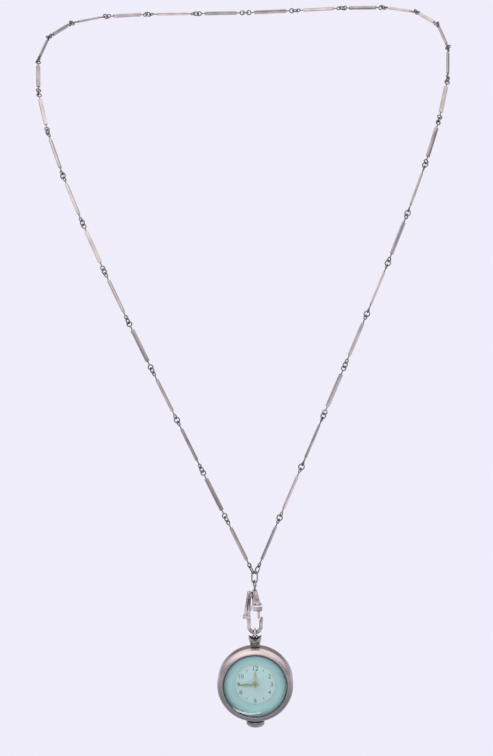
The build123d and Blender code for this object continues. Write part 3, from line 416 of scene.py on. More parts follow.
def acrylic_crystal():
    material, tree, place = begin("clear acrylic crystal")
    marks = add(tree, NOISE, {"Vector": place, "Scale": per(0.6 * mm), "Detail": 3.0})
    bump = add(tree, "ShaderNodeBump", {"Strength": 0.02, "Distance": 0.03 * mm, "Height": marks})
    far = from_middle(tree, place)
    # years of wiping leave the flat middle finely scuffed, and its steep edge clear
    edge = {"Value": far, "From Min": 7 * mm, "From Max": 9 * mm}
    scuffed = add(tree, REMAP, {**edge, "To Min": 0.5, "To Max": 0.05})
    clean = add(tree, REMAP, {**edge, "To Min": 0.6, "To Max": 1.0})
    mirrors = add(tree, "ShaderNodeFresnel", {"IOR": 1.49, "Normal": bump})
    slope = add(tree, MATH, {0: mirrors, 1: clean}, operation="MULTIPLY")
    clear = add(tree, "ShaderNodeBsdfTransparent", {"Color": linear("F4FBFB")})
    mirror = add(tree, "ShaderNodeBsdfAnisotropic", {
        "Color": linear("F4FFFF"), "Roughness": scuffed, "Normal": bump,
    })
    both = add(tree, "ShaderNodeMixShader", {0: slope, 1: clear, 2: mirror})
    add(tree, "ShaderNodeOutputMaterial", {"Surface": both})
    return material


def fine(name, colour, other, patch, rough, metal=0.0, grain=0.2 * mm, bite=0.2):
    """A plain part's finish: two near colours in patches, and a fine grain in its surface."""
    material, tree, place = begin(name)
    body = clouded(tree, place, patch, colour, other)
    fibre = add(tree, NOISE, {"Vector": place, "Scale": per(grain)})
    wear = add(tree, REMAP, {"Value": fibre, "To Min": rough - 0.08, "To Max": rough + 0.08})
    return surfaced(material, body, wear, fibre, bite, grain * 0.1, metal)


finishes.update({
    "dial_aqua": dial_lacquer(),
    "surround_teal": surround_enamel(),
    "crystal_glass": acrylic_crystal(),
    # moulded nitrile gasket: near black, with a soft dull sheen
    "gasket_black": fine("moulded rubber gasket", "2A302F", "3B4240", 1 * mm, 0.6),
    # stamped gilt hands: pale worn gilding over brass
    "hand_gold": fine("worn gilt hands", "E9E2B8", "CFC690", 1.5 * mm, 0.3, metal=1.0, grain=0.3 * mm),
    # hardened spring steel: grey, with a dark straw tint
    "spring_steel": fine("tempered spring steel", "8F8B86", "6F6A66", 1 * mm, 0.32, metal=1.0),
    # moulded acetal holder ring: milky white, slightly waxy
    "holder_plastic": fine("moulded acetal holder", "E3E1D9", "D6D3CA", 2 * mm, 0.45),
    # nickel-plated brass plates: a warm pale grey with a fine grained surface
    "plate_nickel": fine(
        "nickel-plated plates", "CFCBC2", "BAB5AB", 1.5 * mm, 0.35, metal=1.0, grain=0.15 * mm
    ),
    # stamped brass wheels: yellow, lightly brushed
    "wheel_brass": fine(
        "brushed brass wheels", "D9BE7B", "C4A662", 1 * mm, 0.3, metal=1.0, grain=0.15 * mm
    ),
    # polished train steel: cool grey arbors and levers
    "train_steel": fine("polished train steel", "B9BBBE", "9A9DA1", 1 * mm, 0.25, metal=1.0),
})
numeral_paint = fine("printed numeral paint", "4E5E55", "93A59C", 0.7 * mm, 0.55, grain=0.1 * mm)
print("finishes", len(finishes))

# %% [markdown]
# ## Giving nodes their finish
# The record names a material slot for every node. Each node first takes its slot's finish, so
# that the works behind the dial are dressed too. The pieces that follow replace only the nodes
# whose real shape is rounder than the model's.

# %% Give every node of the model its finish
node_body = {}
for body, nodes in frame["record"]["behaviour"]["bodies"].items():
    for node in nodes:
        node_body[node] = body

for node, piece in frame["nodes"].items():
    for place in piece.material_slots:
        said = place.material.name if place.material else ""
        kind = next((slot for slot in finishes if said.startswith(slot)), None)
        if kind:
            place.material = finishes[kind]
        else:
            print("no finish for", node, said)

# %% [markdown]
# ## From points to a piece
# A finished piece is a plain mesh with its place in its vertices. This helper takes a mesh,
# merges its seams, turns its faces outward, shades it smooth up to an angle, hangs it on the
# body it rides on and hides the nodes it stands for. The smaller helpers make and join meshes.

# %% Helpers that make and finish a piece
def mended(mesh, gap, thin=0.0):
    """Merge a mesh's points across a gap, drop its thin edges, and face it outward."""
    work = bmesh.new()
    work.from_mesh(mesh)
    bmesh.ops.remove_doubles(work, verts=work.verts, dist=gap)
    if thin:
        bmesh.ops.dissolve_degenerate(work, edges=work.edges, dist=thin)
    bmesh.ops.recalc_face_normals(work, faces=work.faces)
    work.to_mesh(mesh)
    work.free()
    return mesh


def made_plain(holder):
    """The plain mesh that an object's modifiers give, with the object itself taken away."""
    depsgraph = bpy.context.evaluated_depsgraph_get()
    mesh = bpy.data.meshes.new_from_object(holder.evaluated_get(depsgraph))
    bpy.data.objects.remove(holder)
    return mesh


def finished(name, mesh, stands_for, slot, finish=None, crease=40, body=None, bends=None):
    """Make a mesh a piece of the object that stands for nodes of the model."""
    mended(mesh, 0.0005 * mm).shade_smooth()
    mesh.set_sharp_from_angle(angle=math.radians(crease))
    mesh.materials.clear()
    mesh.materials.append(finish or finishes[slot])
    mesh.name = name
    piece = placed(name, mesh)
    if bends:
        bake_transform(piece)
    else:
        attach(piece, body or node_body[stands_for[0]])
    if not body:
        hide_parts(*stands_for)
    print(name, len(mesh.polygons), "faces")
    return piece


def shell(points, faces):
    mesh = bpy.data.meshes.new("shell")
    mesh.from_pydata(points, [], faces)
    return mesh


def joined(*meshes):
    """Several meshes as one."""
    work = bmesh.new()
    for mesh in meshes:
        work.from_mesh(mesh)
    whole = bpy.data.meshes.new("joined")
    work.to_mesh(whole)
    work.free()
    return whole

# %% [markdown]
# ## Bars and rings of the chain
# The chain is a bar link, repeated 34 times, with a small ring between each two. A real bar is
# cut from strip, its ends are filed to a tang and bent into an eye. The model already knows
# where each bar hangs and how it has turned, so its loose shapes give every link's middle,
# run and facing. Geometry Nodes then set one rounded link on each of those points, and give
# each a tone of its own, because no two bars have worn alike.

# %% Read where each link hangs
def loose_shapes(node):
    """The separate shapes in a node, each as its own points."""
    work = bmesh.new()
    work.from_mesh(frame["nodes"][node].data)
    bmesh.ops.remove_doubles(work, verts=work.verts, dist=0.001 * mm)
    left, shapes = set(work.verts), []
    for first in work.verts:
        if first not in left:
            continue
        left.discard(first)
        edge, shape = [first], []
        while edge:
            corner = edge.pop()
            shape.append(np.array(corner.co))
            for line in corner.link_edges:
                other = line.other_vert(corner)
                if other in left:
                    left.discard(other)
                    edge.append(other)
        shapes.append(np.array(shape))
    work.free()
    return shapes


def hang_of(shape):
    """A link's middle, run, facing and length, from its points."""
    middle = shape.mean(0)
    axes = np.linalg.svd(shape - middle, full_matrices=False)[2]
    spans = (shape - middle) @ axes.T
    middle = middle + ((spans.max(0) + spans.min(0)) / 2) @ axes
    return Vector(middle), Vector(axes[0]), Vector(axes[2]), max(spans.max(0) - spans.min(0))


bar_hangs, ring_hangs = {}, {}
for run in ("neck", "upper", "middle", "lower"):
    sides = [shape for side in ("left", "right") for shape in loose_shapes(f"{run}_bars_{side}")]
    bar_hangs[run] = [hang_of(s) for s in sides]
    ring_hangs[run] = [hang_of(s) for s in loose_shapes(f"{run}_rings")]
    print(run, len(bar_hangs[run]), "bars", len(ring_hangs[run]), "rings")

# %% Sizes of a link, from the model
wire = 0.45 * mm
link_length = max(h[3] for h in bar_hangs["neck"])
eye_outer, tang = 2.1 * mm, 1.1 * mm
bar_length = link_length - 2 * (eye_outer + tang)
link_sizes = {
    "Bar length": bar_length, "Bar width": 1.55 * mm, "Bar thickness": 0.8 * mm,
    "Link length": link_length, "Eye": eye_outer, "Wire": wire,
}
print("link", round(link_length / mm, 2), "bar", round(bar_length / mm, 2))

# %% Helpers for Geometry Nodes
def new_tree(name, sizes):
    """An empty tree with a geometry input, named sizes and a finish."""
    tree = bpy.data.node_groups.new(name, "GeometryNodeTree")
    tree.interface.new_socket("Geometry", in_out="INPUT", socket_type="NodeSocketGeometry")
    for size in sizes:
        kind = "NodeSocketInt" if size == "Seed" else "NodeSocketFloat"
        tree.interface.new_socket(size, in_out="INPUT", socket_type=kind)
    tree.interface.new_socket("Finish", in_out="INPUT", socket_type="NodeSocketMaterial")
    tree.interface.new_socket("Geometry", in_out="OUTPUT", socket_type="NodeSocketGeometry")
    return tree, add(tree, "NodeGroupInput").outputs


def set_on_points(tree, inputs, shape):
    """End a tree: set a shape on every point, turned by its run and facing, with a tone."""
    run = add(tree, "GeometryNodeInputNamedAttribute", {"Name": "run"}, data_type="FLOAT_VECTOR")
    facing = add(tree, "GeometryNodeInputNamedAttribute", {"Name": "facing"}, data_type="FLOAT_VECTOR")
    turn = add(tree, "FunctionNodeAxesToRotation", {
        0: run, 1: facing,
    }, primary_axis="X", secondary_axis="Z")
    copies = add(tree, "GeometryNodeInstanceOnPoints", {
        "Points": inputs["Geometry"], "Instance": shape, "Rotation": turn,
    })
    luck = add(tree, "FunctionNodeRandomValue", {"Seed": inputs["Seed"]})
    toned = add(tree, "GeometryNodeStoreNamedAttribute", {
        "Geometry": copies, "Name": "tone", "Value": luck.outputs[1],
    }, domain="INSTANCE")
    real = add(tree, "GeometryNodeRealizeInstances", {0: toned})
    finish = add(tree, "GeometryNodeSetMaterial", {"Geometry": real, "Material": inputs["Finish"]})
    add(tree, "NodeGroupOutput", {0: finish})
    return tree


def wire_loop(tree, given, outer, steps, sides):
    """A ring of wire, and with it the wire's round section and the ring's half width."""
    wire_half = add(tree, MATH, {0: given["Wire"], 1: 0.5}, operation="MULTIPLY")
    section = add(tree, "GeometryNodeCurvePrimitiveCircle", {"Resolution": sides, "Radius": wire_half})
    across = add(tree, MATH, {0: given[outer], 1: given["Wire"]}, operation="SUBTRACT")
    half = add(tree, MATH, {0: across, 1: 0.5}, operation="MULTIPLY")
    line = add(tree, "GeometryNodeCurvePrimitiveCircle", {"Resolution": steps, "Radius": half})
    loop = add(tree, "GeometryNodeCurveToMesh", {"Curve": line, "Profile Curve": section})
    return loop, section, half


def grown(tree, points, sizes, finish):
    """The plain mesh that a tree makes on a list of hangs."""
    seeds = bpy.data.meshes.new("points")
    seeds.from_pydata([h[0] for h in points], [], [])
    for name, place in (("run", 1), ("facing", 2)):
        layer = seeds.attributes.new(name, "FLOAT_VECTOR", "POINT")
        layer.data.foreach_set("vector", [c for h in points for c in h[place]])
    holder = placed("points", seeds)
    grow = holder.modifiers.new("grow", "NODES")
    grow.node_group = tree
    given = {**sizes, "Finish": finish}
    for item in tree.interface.items_tree:
        if item.in_out == "INPUT" and item.name in given:
            grow[item.identifier] = given[item.name]
    return made_plain(holder)

# %% Tree for a bar link
tree, given = new_tree("bar link", [*link_sizes, "Seed"])
stations, edge_ease, eye_dark = 17, 0.37 * mm, 0.55
line = add(tree, "GeometryNodeCurvePrimitiveLine", {"Start": (-1, 0, 0), "End": (1, 0, 0)})
spaced = add(tree, "GeometryNodeResampleCurve", {"Curve": line, "Count": stations})
station = add(tree, "GeometryNodeSplineParameter").outputs["Index"]
way = add(tree, REMAP, {"Value": station, "From Max": stations - 1, "To Min": -1.0})
out = add(tree, MATH, {0: way}, operation="ABSOLUTE")
end = add(tree, MATH, {0: way}, operation="SIGN")

# how far out each station stands, and how wide the strip is there, from its middle to its end
spread = add(tree, "ShaderNodeFloatCurve", {"Value": out})
narrow = add(tree, "ShaderNodeFloatCurve", {"Value": out})
shapes = (
    (spread, ((0, 0), (1, 1)), ((0.5, 0.93), (0.75, 0.985))),
    (narrow, ((0, 1), (1, 0.42)), ((0.5, 1.0), (0.75, 0.93), (0.9, 0.74))),
)
for node, ends, between in shapes:
    points = node.mapping.curves[0].points
    points[0].location, points[1].location = ends
    for x, y in between:
        points.new(x, y)
    for point in points:
        point.handle_type = "VECTOR"
    node.mapping.update()
half = add(tree, MATH, {0: given["Bar length"], 1: 0.5}, operation="MULTIPLY")
far = add(tree, MATH, {0: spread, 1: half}, operation="MULTIPLY")
x_place = add(tree, MATH, {0: far, 1: end}, operation="MULTIPLY")
at = add(tree, "ShaderNodeCombineXYZ", {0: x_place})
strip_line = add(tree, "GeometryNodeSetPosition", {"Geometry": spaced, "Position": at})

section = add(tree, "GeometryNodeCurvePrimitiveQuadrilateral", {
    "Width": given["Bar width"], "Height": given["Bar thickness"],
})
soft_section = add(tree, "GeometryNodeFilletCurve", {
    "Curve": section, "Count": 2, "Radius": edge_ease,
}, mode="POLY")
strip = add(tree, "GeometryNodeCurveToMesh", {
    "Curve": strip_line, "Profile Curve": soft_section, "Scale": narrow, "Fill Caps": True,
})

# the eyes and tangs, at each end of the strip
eye_loop, wire_round, eye_half = wire_loop(tree, given, "Eye", 20, 8)
room = add(tree, MATH, {0: given["Link length"], 1: given["Eye"]}, operation="SUBTRACT")
eye_far = add(tree, MATH, {0: room, 1: 0.5}, operation="MULTIPLY")
tang_end = add(tree, MATH, {0: eye_far, 1: eye_half}, operation="SUBTRACT")
parts = [strip]
for direction in (-1, 1):
    eye_x = add(tree, MATH, {0: eye_far, 1: direction}, operation="MULTIPLY")
    eye_at = add(tree, "ShaderNodeCombineXYZ", {0: eye_x})
    parts.append(add(tree, "GeometryNodeTransform", {"Geometry": eye_loop, "Translation": eye_at}))
    from_x = add(tree, MATH, {0: half, 1: direction * 0.98}, operation="MULTIPLY")
    to_x = add(tree, MATH, {0: tang_end, 1: direction}, operation="MULTIPLY")
    start = add(tree, "ShaderNodeCombineXYZ", {0: from_x})
    stop = add(tree, "ShaderNodeCombineXYZ", {0: to_x})
    tang_line = add(tree, "GeometryNodeCurvePrimitiveLine", {"Start": start, "End": stop})
    parts.append(add(tree, "GeometryNodeCurveToMesh", {
        "Curve": tang_line, "Profile Curve": wire_round, "Fill Caps": True,
    }))
whole = add(tree, "GeometryNodeJoinGeometry")
for place, part in enumerate(parts):
    kept = add(tree, "GeometryNodeStoreNamedAttribute", {
        "Geometry": part, "Name": "eye", "Value": eye_dark if place else 0.0,
    })
    tree.links.new(kept.outputs[0], whole.inputs[0])
bar_tree = set_on_points(tree, given, whole)

# %% Tree for a plain ring
tree, given = new_tree("link ring", ("Ring", "Wire", "Seed"))
ring_tree = set_on_points(tree, given, wire_loop(tree, given, "Ring", 24, 10)[0])

# %% Grow the chain, one piece of bars and one of rings for each body
ring_outer, end_ring_outer, large = 2.5 * mm, 3.4 * mm, 3 * mm
chain_finish = finishes["chain_silver"]
for seed, run in enumerate(bar_hangs):
    bars = grown(bar_tree, bar_hangs[run], {**link_sizes, "Seed": seed}, chain_finish)
    finished(f"{run}_bars", bars, [f"{run}_bars_left", f"{run}_bars_right"], "chain_silver")
    small = [h for h in ring_hangs[run] if h[3] < large]
    at_ends = [h for h in ring_hangs[run] if h[3] >= large]
    ring_sizes = {"Ring": ring_outer, "Wire": wire, "Seed": seed + 9}
    rings = grown(ring_tree, small, ring_sizes, chain_finish)
    if at_ends:
        ring_sizes = {"Ring": end_ring_outer, "Wire": wire, "Seed": seed}
        rings = joined(rings, grown(ring_tree, at_ends, ring_sizes, chain_finish))
    finished(f"{run}_ring_set", rings, [f"{run}_rings"], "chain_silver", finish=ring_silver)

# %% [markdown]
# ## Round wire: joint link, swivel ring and bow
# These are loops of drawn wire, closed by soldering. A curve with a round bevel is the plainest
# way to make one. Its points are worked out in the model's frame, from the loop's own plane,
# and the curve is then made a mesh.

# %% Helper for bent wire
def bent_wire(points, radius, closed=True):
    """A mesh of round wire along points."""
    line = bpy.data.curves.new("wire", "CURVE")
    line.dimensions = "3D"
    line.bevel_depth = radius
    line.bevel_resolution = 5
    line.use_fill_caps = True
    spline = line.splines.new("POLY")
    spline.points.add(len(points) - 1)
    for place, point in enumerate(points):
        spline.points[place].co = (*point, 1)
    spline.use_cyclic_u = closed
    return made_plain(placed("wire", line))


rise = Vector((0, 0, 1))


def level_way(degrees):
    """A direction in the level plane, turned from X towards Y."""
    return Vector((math.cos(math.radians(degrees)), math.sin(math.radians(degrees)), 0))


def round_points(middle, side, half_width, half_height, corner, steps=12):
    """Points round an upright oblong with round corners, wide along a direction."""
    points = []
    for quarter, (sx, sy) in enumerate(((1, 1), (-1, 1), (-1, -1), (1, -1))):
        for step in range(steps + 1):
            angle = math.pi / 2 * (quarter + step / steps)
            x = sx * (half_width - corner) + corner * math.cos(angle)
            y = sy * (half_height - corner) + corner * math.sin(angle)
            points.append(middle + side * x + rise * y)
    return points


# %% Joint link
joint_wire, joint_half, joint_corner = 0.5 * mm, 1.0 * mm, 0.75 * mm
joint_low, joint_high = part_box("joint_link")
joint_rise = (joint_high.z - joint_low.z - joint_wire) / 2
joint_middle, joint_side = middle_of("joint_link"), level_way(20)
joint_line = round_points(joint_middle, joint_side, joint_half, joint_rise, joint_corner)
joint = bent_wire(joint_line, joint_wire / 2)
finished("joint_wire_link", joint, ["joint_link"], "chain_silver", finish=ring_silver)

# %% Swivel ring, with its neck and head in the clasp
swivel_low, swivel_high = [corner.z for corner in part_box("swivel_ring")]
swivel_outer, swivel_wire = 2.9 * mm, 0.55 * mm
neck_radius, neck_foot = 0.3 * mm, clasp_top - 0.45 * mm
head_radius, head_top = 0.43 * mm, clasp_top - 0.51 * mm
ring_half = (swivel_outer - swivel_wire) / 2
swivel_middle = Vector((hang_x, hang_y, swivel_high - swivel_outer / 2))
swivel_line = round_points(swivel_middle, level_way(-70), ring_half, ring_half, ring_half)
rods = (
    (swivel_middle.z - ring_half, neck_foot, neck_radius),
    (head_top, swivel_low, head_radius),
)
swivel = joined(bent_wire(swivel_line, swivel_wire / 2), *[
    bent_wire([Vector((hang_x, hang_y, z)) for z in (top, foot)], radius, closed=False)
    for top, foot, radius in rods
])
finished("swivel_wire_ring", swivel, ["swivel_ring"], "clasp_silver", finish=ring_silver)

# %% Bow that hangs in the hook
bow_outer, bow_wire = 3.8 * mm, 0.8 * mm
bow_half = (bow_outer - bow_wire) / 2
bow_line = round_points(bow, level_way(90), bow_half, bow_half, bow_half)
finished("bow_wire_ring", bent_wire(bow_line, bow_wire / 2), ["bow_ring"], "clasp_silver")

# %% [markdown]
# ## Castings with worn edges: clasp, lever, cup and crown
# Cast silver keeps no sharp edge after decades of handling. A copy of the model's own mesh is
# rebuilt from very small cubes and then smoothed. That rounds each outer edge and fills each
# inner corner a little, and it turns the model's flat-sided wire round, as real wear would.

# %% Helper that wears a casting's edges
def worn_casting(node, cube, passes, keep):
    """A copy of a node's mesh with its edges worn round."""
    holder = placed(node, mended(frame["nodes"][node].data.copy(), 0.001 * mm))
    cubes = holder.modifiers.new("cubes", "REMESH")
    cubes.mode, cubes.voxel_size = "VOXEL", cube
    rub = holder.modifiers.new("rub", "SMOOTH")
    rub.factor, rub.iterations = 0.5, passes
    thin = holder.modifiers.new("thin", "DECIMATE")
    thin.ratio = keep
    return made_plain(holder)


# %% Rules that bend the clasp body, the lever and the cup
def bent_by(mesh, bend):
    """Move every point of a mesh by a rule on its across, back and drop, in mm."""
    top = Vector((hang_x, hang_y, clasp_top))
    for point in mesh.vertices:
        across, back, lift = (point.co - top) / mm
        across, back, drop = bend(across, back, -lift)
        point.co = top + Vector((across, back, -drop)) * mm
    return mesh


def eased_share(value, low, high):
    share = min(max((value - low) / (high - low), 0), 1)
    return share * share * (3 - 2 * share)


def rounded_across(across, back, left, right, groove):
    """A flat bar's front and back made round, with a lengthwise groove."""
    way = (across - (left + right) / 2) / ((right - left) / 2)
    cut = 0.2 * math.exp(-(((way - groove) / 0.2) ** 2))
    return back * math.sqrt(max(1 - 0.72 * min(way * way, 1), 0)) * (1 - cut)


def barrel_and_finger(across, back, drop):
    """The body is round across, its collar swells like a barrel, and the finger leans out."""
    body_foot, collar_top, collar_foot, finger_root = 4.9, 4.95, 7.6, 7.3
    collar_middle, collar_half = 6.3, 1.35
    if drop < body_foot and across > -0.9:
        back = rounded_across(across, back, -0.85, 0.85 + 1.05 * drop / 4.6, -0.25)
    nearer = eased_share(drop, 2.4, 5.0) * (1 - eased_share(drop, 7.2, 7.8))
    across -= 0.1 * nearer * min(max((2.4 - across) / 3, 0), 1)
    if collar_top < drop < collar_foot:
        way = (drop - collar_middle) / collar_half
        swell = math.sqrt(1 - 0.42 * way**2) * 1.04
        across = 0.9 + (across - 0.9) * swell
        back *= swell * math.sqrt(1 - 0.5 * way**2)
    if drop > finger_root:
        across += 0.45 * eased_share(drop, finger_root, 8.2)
        drop = finger_root + (drop - finger_root) * 0.74
    return across, back, drop


def lever_round(across, back, drop):
    """The lever is round across, with a groove along it."""
    lever_top, lever_foot = 2.8, 9.2
    if lever_top < drop < lever_foot:
        back = rounded_across(across, back, -2.6 - 1.5 * (drop - 0.6) / 9.5, -1.65, 0.1)
    return across, back, drop


def tulip(across, back, drop):
    """The cup swells below its lip like a tulip."""
    stud, lip_gap, lip_soft = 1, 2.3, 1.1
    if across * across + back * back <= stud * stud:
        return across, back, drop
    swell = 1 + 0.17 * math.exp(-(((cup_foot - drop - lip_gap) / lip_soft) ** 2))
    return across * swell, back * swell, drop


# %% Clasp body, lever, leaf spring, cup and crown
case_radius = 13.3
cup_foot = (clasp_top - watch.z) / mm - case_radius
body_casting = bent_by(worn_casting("clasp_body", 0.06 * mm, 16, 0.8), barrel_and_finger)
lever_casting = bent_by(worn_casting("clasp_lever", 0.06 * mm, 18, 0.8), lever_round)
finished("clasp_casting", body_casting, ["clasp_body"], "clasp_silver", crease=80)
finished("lever_and_hook", lever_casting, ["clasp_lever"], "clasp_silver", crease=80)
leaf_low, leaf_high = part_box("clasp_spring")
leaf = [Vector((hang_x, hang_y, height)) for height in (leaf_high.z, leaf_low.z)]
bends = ("clasp", "pinch_lever", *leaf)
spring = worn_casting("clasp_spring", 0.05 * mm, 3, 0.8)
finished("leaf_spring", spring, ["clasp_spring"], "spring_steel", crease=60, bends=bends)
cup = bent_by(worn_casting("pendant_cup", 0.055 * mm, 7, 0.5), tulip)
finished("tulip_cup", cup, ["pendant_cup"], "cup_silver", crease=80)
crown = worn_casting("crown", 0.07 * mm, 3, 0.5)
finished("fluted_crown", crown, ["crown"], "case_silver", finish=crown_silver_and_shadow, crease=80)

# %% [markdown]
# ## Turned parts: band, bezel, back, crystal, gasket, dial and surround
# The case was turned on a lathe, so each part is one outline spun about the watch's middle.
# Corners of an outline are first eased by a short curve, which gives each edge its thin
# highlight. Heights are measured forward from the middle of the band.

# %% Helpers for turned parts
band_half = 2.35
opening_radius, opening_front = 11.3, 4.75
dial_radius, dial_front = 7.45, 2.0


def eased(corners, ease, closed=True, steps=5):
    """An outline with each corner rounded off by a short curve."""
    soft = []
    for place, corner in enumerate(corners):
        here = Vector(corner)
        if not closed and place in (0, len(corners) - 1):
            soft.append(here)
            continue
        to_last = Vector(corners[place - 1]) - here
        to_next = Vector(corners[(place + 1) % len(corners)]) - here
        start = here + to_last.normalized() * min(ease, to_last.length * 0.45)
        stop = here + to_next.normalized() * min(ease, to_next.length * 0.45)
        for step in range(steps + 1):
            way = step / steps
            soft.append(start * (1 - way) ** 2 + here * 2 * way * (1 - way) + stop * way**2)
    return soft


def face_point(reach, angle, front):
    """A point on the watch's face, in mm from its middle, with 12 o'clock at no angle."""
    turn = math.radians(angle)
    return watch + Vector((reach * math.sin(turn), -front, reach * math.cos(turn))) * mm


def turned_skin(outline, closed=True, steps=144):
    """An outline of radii and heights, in mm, spun about the watch's middle."""
    points = [face_point(r, 360 * step / steps, front) for step in range(steps) for r, front in outline]
    size = len(outline)
    faces = []
    for step in range(steps):
        here, there = step * size, (step + 1) % steps * size
        for place in range(size if closed else size - 1):
            after = (place + 1) % size
            faces.append((here + place, here + after, there + after, there + place))
    return mended(shell(points, faces), 0.001 * mm, 0.0005 * mm)


def ring_outline(inner, outer, low, high):
    """The four corners of a plain ring's section."""
    return [(inner, low), (outer, low), (outer, high), (inner, high)]


def skin(rings):
    """A closed mesh through rings of points, all with the same count."""
    size, rows = len(rings[0]), len(rings) - 1
    faces = []
    for here in range(0, rows * size, size):
        for place in range(size):
            after = (place + 1) % size
            faces.append((here + place, here + after, here + size + after, here + size + place))
    faces += [tuple(range(size)), tuple(reversed(range(rows * size, (rows + 1) * size)))]
    return shell([p for ring in rings for p in ring], faces)


def drilled(mesh, middle, axis, radius, length=4 * mm, sides=32):
    """A mesh with a round hole cut along an axis."""
    across = axis.orthogonal().normalized() * radius
    side = axis.cross(across)
    turns = [2 * math.pi * k / sides for k in range(sides)]
    rounds = [across * math.cos(a) + side * math.sin(a) for a in turns]
    ends = [[middle + axis * end + r for r in rounds] for end in (-length / 2, length / 2)]
    drill, holder = placed("drill", mended(skin(ends), 0)), placed("drilled", mesh)
    cut = holder.modifiers.new("cut", "BOOLEAN")
    cut.object, cut.operation, cut.solver = drill, "DIFFERENCE", "EXACT"
    whole = made_plain(holder)
    bpy.data.objects.remove(drill)
    return whole


# %% Band, with its holes for the tube and the cup's stud
band = turned_skin(eased(ring_outline(11.6, case_radius, -band_half, band_half), 0.16))
hole_reach, tube_hole, stud_hole = 12.5 * mm, 1.0 * mm, 0.7 * mm
stem = watch + Vector((0, 0.2 * mm, 0))
band = drilled(band, stem - rise * hole_reach, -rise, tube_hole)
band = drilled(band, watch + rise * hole_reach, rise, stud_hole)
finished("case_band", band, ["case_middle"], "case_silver", finish=band_silver, crease=30)

# %% Bezel, back and gasket
bezel_outline = [
    (opening_radius, band_half), (13.37, band_half), (13.37, 2.8),
    (12.85, 4.1), (11.75, opening_front), (opening_radius, opening_front),
]
bezel = turned_skin(eased(bezel_outline, 0.3))
finished("turned_bezel", bezel, ["bezel"], "case_silver", crease=30)
back_outline = [
    (0, -3.4), (8.0, -3.4), (case_radius, -2.75), (case_radius, -band_half), (11.57, -band_half),
    (11.57, -1.45), (10.92, -1.45), (10.92, -band_half), (0, -2.75),
]
back = turned_skin(eased(back_outline, 0.35, closed=False), closed=False)
finished("snap_back", back, ["case_back"], "case_silver", crease=30)
gasket = turned_skin(eased(ring_outline(11.05, opening_radius, 3.35, 4.65), 0.08))
finished("moulded_gasket", gasket, ["crystal_gasket"], "gasket_black", crease=50)

# %% Crystal, a dome that steepens towards its rim
crystal_radius, crystal_foot, dome_rise = 11.05, 3.35, 1.65
shares = np.sin(np.linspace(0, math.pi / 2, 28))
dome = [(crystal_radius * s, opening_front + dome_rise * (1 - s**6)) for s in shares]
rim = [(crystal_radius, opening_front - 0.1), (crystal_radius, crystal_foot), (0, crystal_foot)]
lens = turned_skin([*dome, *eased(rim, 0.15, closed=False)], closed=False, steps=360)
crystal = finished("domed_crystal", lens, ["crystal"], "crystal_glass", crease=50)
# the card lights the crystal alone, so the metal round it keeps its own shading
lit_by_card = bpy.data.collections.new("lit by the card")
lit_by_card.objects.link(crystal)
card.light_linking.receiver_collection = lit_by_card

# %% Dial and its surround
plate_foot = 1.65
plate = turned_skin(eased(ring_outline(0.8, dial_radius, plate_foot, dial_front), 0.06))
finished("lacquered_dial", plate, ["dial"], "dial_aqua", crease=30)
slope_outline = [(7.5, plate_foot), (11.25, plate_foot), (11.25, 2.9), (7.5, 2.1)]
slope = turned_skin(eased(slope_outline, 0.08))
finished("enamelled_surround", slope, ["dial_surround"], "surround_teal", crease=30)

# %% [markdown]
# ## Printing on the dial
# Only plain numbers and dots are printed. The numbers are flat letters, given a paint's
# thickness and made a mesh. The minute dots repeat, so a small tree sets one low dot on each
# point of a circle.

# %% Numbers, dots and the small ring of minutes
def number(text, angle, reach, tall):
    """A printed number with its middle on a place of the dial."""
    letters = bpy.data.curves.new("number", "FONT")
    letters.body, letters.size = text, tall * mm / 0.7
    letters.align_x, letters.align_y = "CENTER", "CENTER"
    letters.extrude, letters.resolution_u = 0.012 * mm, 4
    letters.offset = 0.035 * mm
    flat = made_plain(placed("number", letters))
    spot = face_point(reach, angle, dial_front + 0.012)
    flat.transform(Matrix.Translation(spot) @ Matrix.Rotation(math.pi / 2, 4, "X"))
    return flat


tree, given = new_tree("printed dot", ("Dot radius", "Paint", "Seed"))
disc = add(tree, "GeometryNodeMeshCylinder", {
    "Vertices": 14, "Radius": given["Dot radius"], "Depth": given["Paint"],
})
dot_tree = set_on_points(tree, given, disc)


def dots(places, reach, radius):
    """Printed dots at clock angles on a circle of the dial."""
    across, ahead = Vector((1, 0, 0)), Vector((0, -1, 0))
    hangs = [(face_point(reach, angle, dial_front + 0.01), across, ahead) for angle in places]
    sizes = {"Dot radius": radius * mm, "Paint": 0.03 * mm, "Seed": 3}
    return grown(dot_tree, hangs, sizes, numeral_paint)


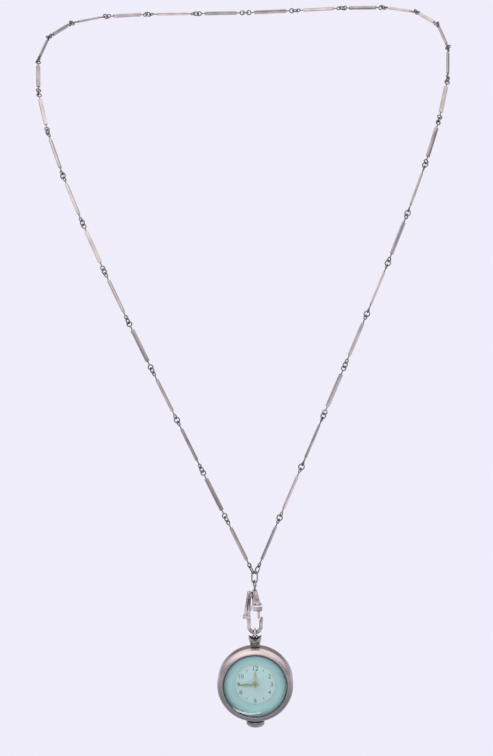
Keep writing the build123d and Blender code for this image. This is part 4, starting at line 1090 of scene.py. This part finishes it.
hour_reach, minute_reach = 5.85, 6.8
printing = [number(str(hour), 30 * hour, hour_reach, 1.5) for hour in (2, 3, 4, 6, 8, 9, 10)]
printing.insert(0, number("12", 360, hour_reach, 1.75))
printing += [dots(*circle) for circle in (
    ([30 * hour for hour in (1, 5, 7, 11)], hour_reach, 0.26),
    ([6 * minute for minute in range(60) if minute % 5], minute_reach, 0.05),
    ([30 * hour for hour in range(12) if hour % 6], minute_reach, 0.1),
    ([0, 180], 7.1, 0.2),
)]
printed = joined(*printing)
finished("dial_printing", printed, [], "dial_aqua", finish=numeral_paint, crease=30, body="watch")

# %% [markdown]
# ## Hands
# The hands are stamped from thin brass and folded along the middle, so each side of the fold
# catches the light differently. Each is a leaf that is broadest before its middle, on a small
# round boss.

# %% The two hands
# how far along the hand each station is, and its share of the hand's breadth
leaf_stations = (
    (-0.24, 0.12), (-0.2, 0.2), (0.1, 0.35), (0.3, 0.85), (0.42, 1.0),
    (0.55, 0.9), (0.75, 0.5), (0.9, 0.22), (1.0, 0.08),
)


def leaf_hand(angle, front, length, broad, boss):
    """A folded leaf hand with its boss, in mm, along a clock angle."""
    ahead = face_point(1, angle, 0) - watch
    aside = face_point(1, angle + 90, 0) - watch
    forward = Vector((0, -mm, 0))
    fold, thick = 0.1, 0.14
    rings = []
    for along, wide in leaf_stations:
        spot, half = watch + ahead * length * along, aside * broad * wide
        edge, ridge = spot + forward * (front - fold), spot + forward * front
        rings.append([edge + half, ridge, edge - half, ridge - forward * thick])
    boss_outline = ring_outline(boss - 0.35, boss, front - 0.15, front)
    return joined(skin(rings), turned_skin(eased(boss_outline, 0.05), steps=32))


hour_box, minute_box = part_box("hour_hand"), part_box("minute_hand")
hour_boss = (hour_box[1].x - hour_box[0].x) / 2 / mm
minute_boss = (minute_box[1].z - minute_box[0].z) / 2 / mm
hour_leaf = leaf_hand(0, 2.4, 5.3, 0.62, hour_boss)
minute_leaf = leaf_hand(-90, 2.85, 6.6, 0.45, minute_boss)
finished("hour_leaf_hand", hour_leaf, ["hour_hand"], "hand_gold", crease=25)
finished("minute_leaf_hand", minute_leaf, ["minute_hand"], "hand_gold", crease=25)

# %% [markdown]
# ## The size
# The dressed watch must stay inside the model's own box, so both boxes are printed.

# %% Print both boxes and finish
seen_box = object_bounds()
for name, box in (("model", cad_box), ("dressed", seen_box)):
    print(name, [[round(c / mm, 2) for c in corner] for corner in box])
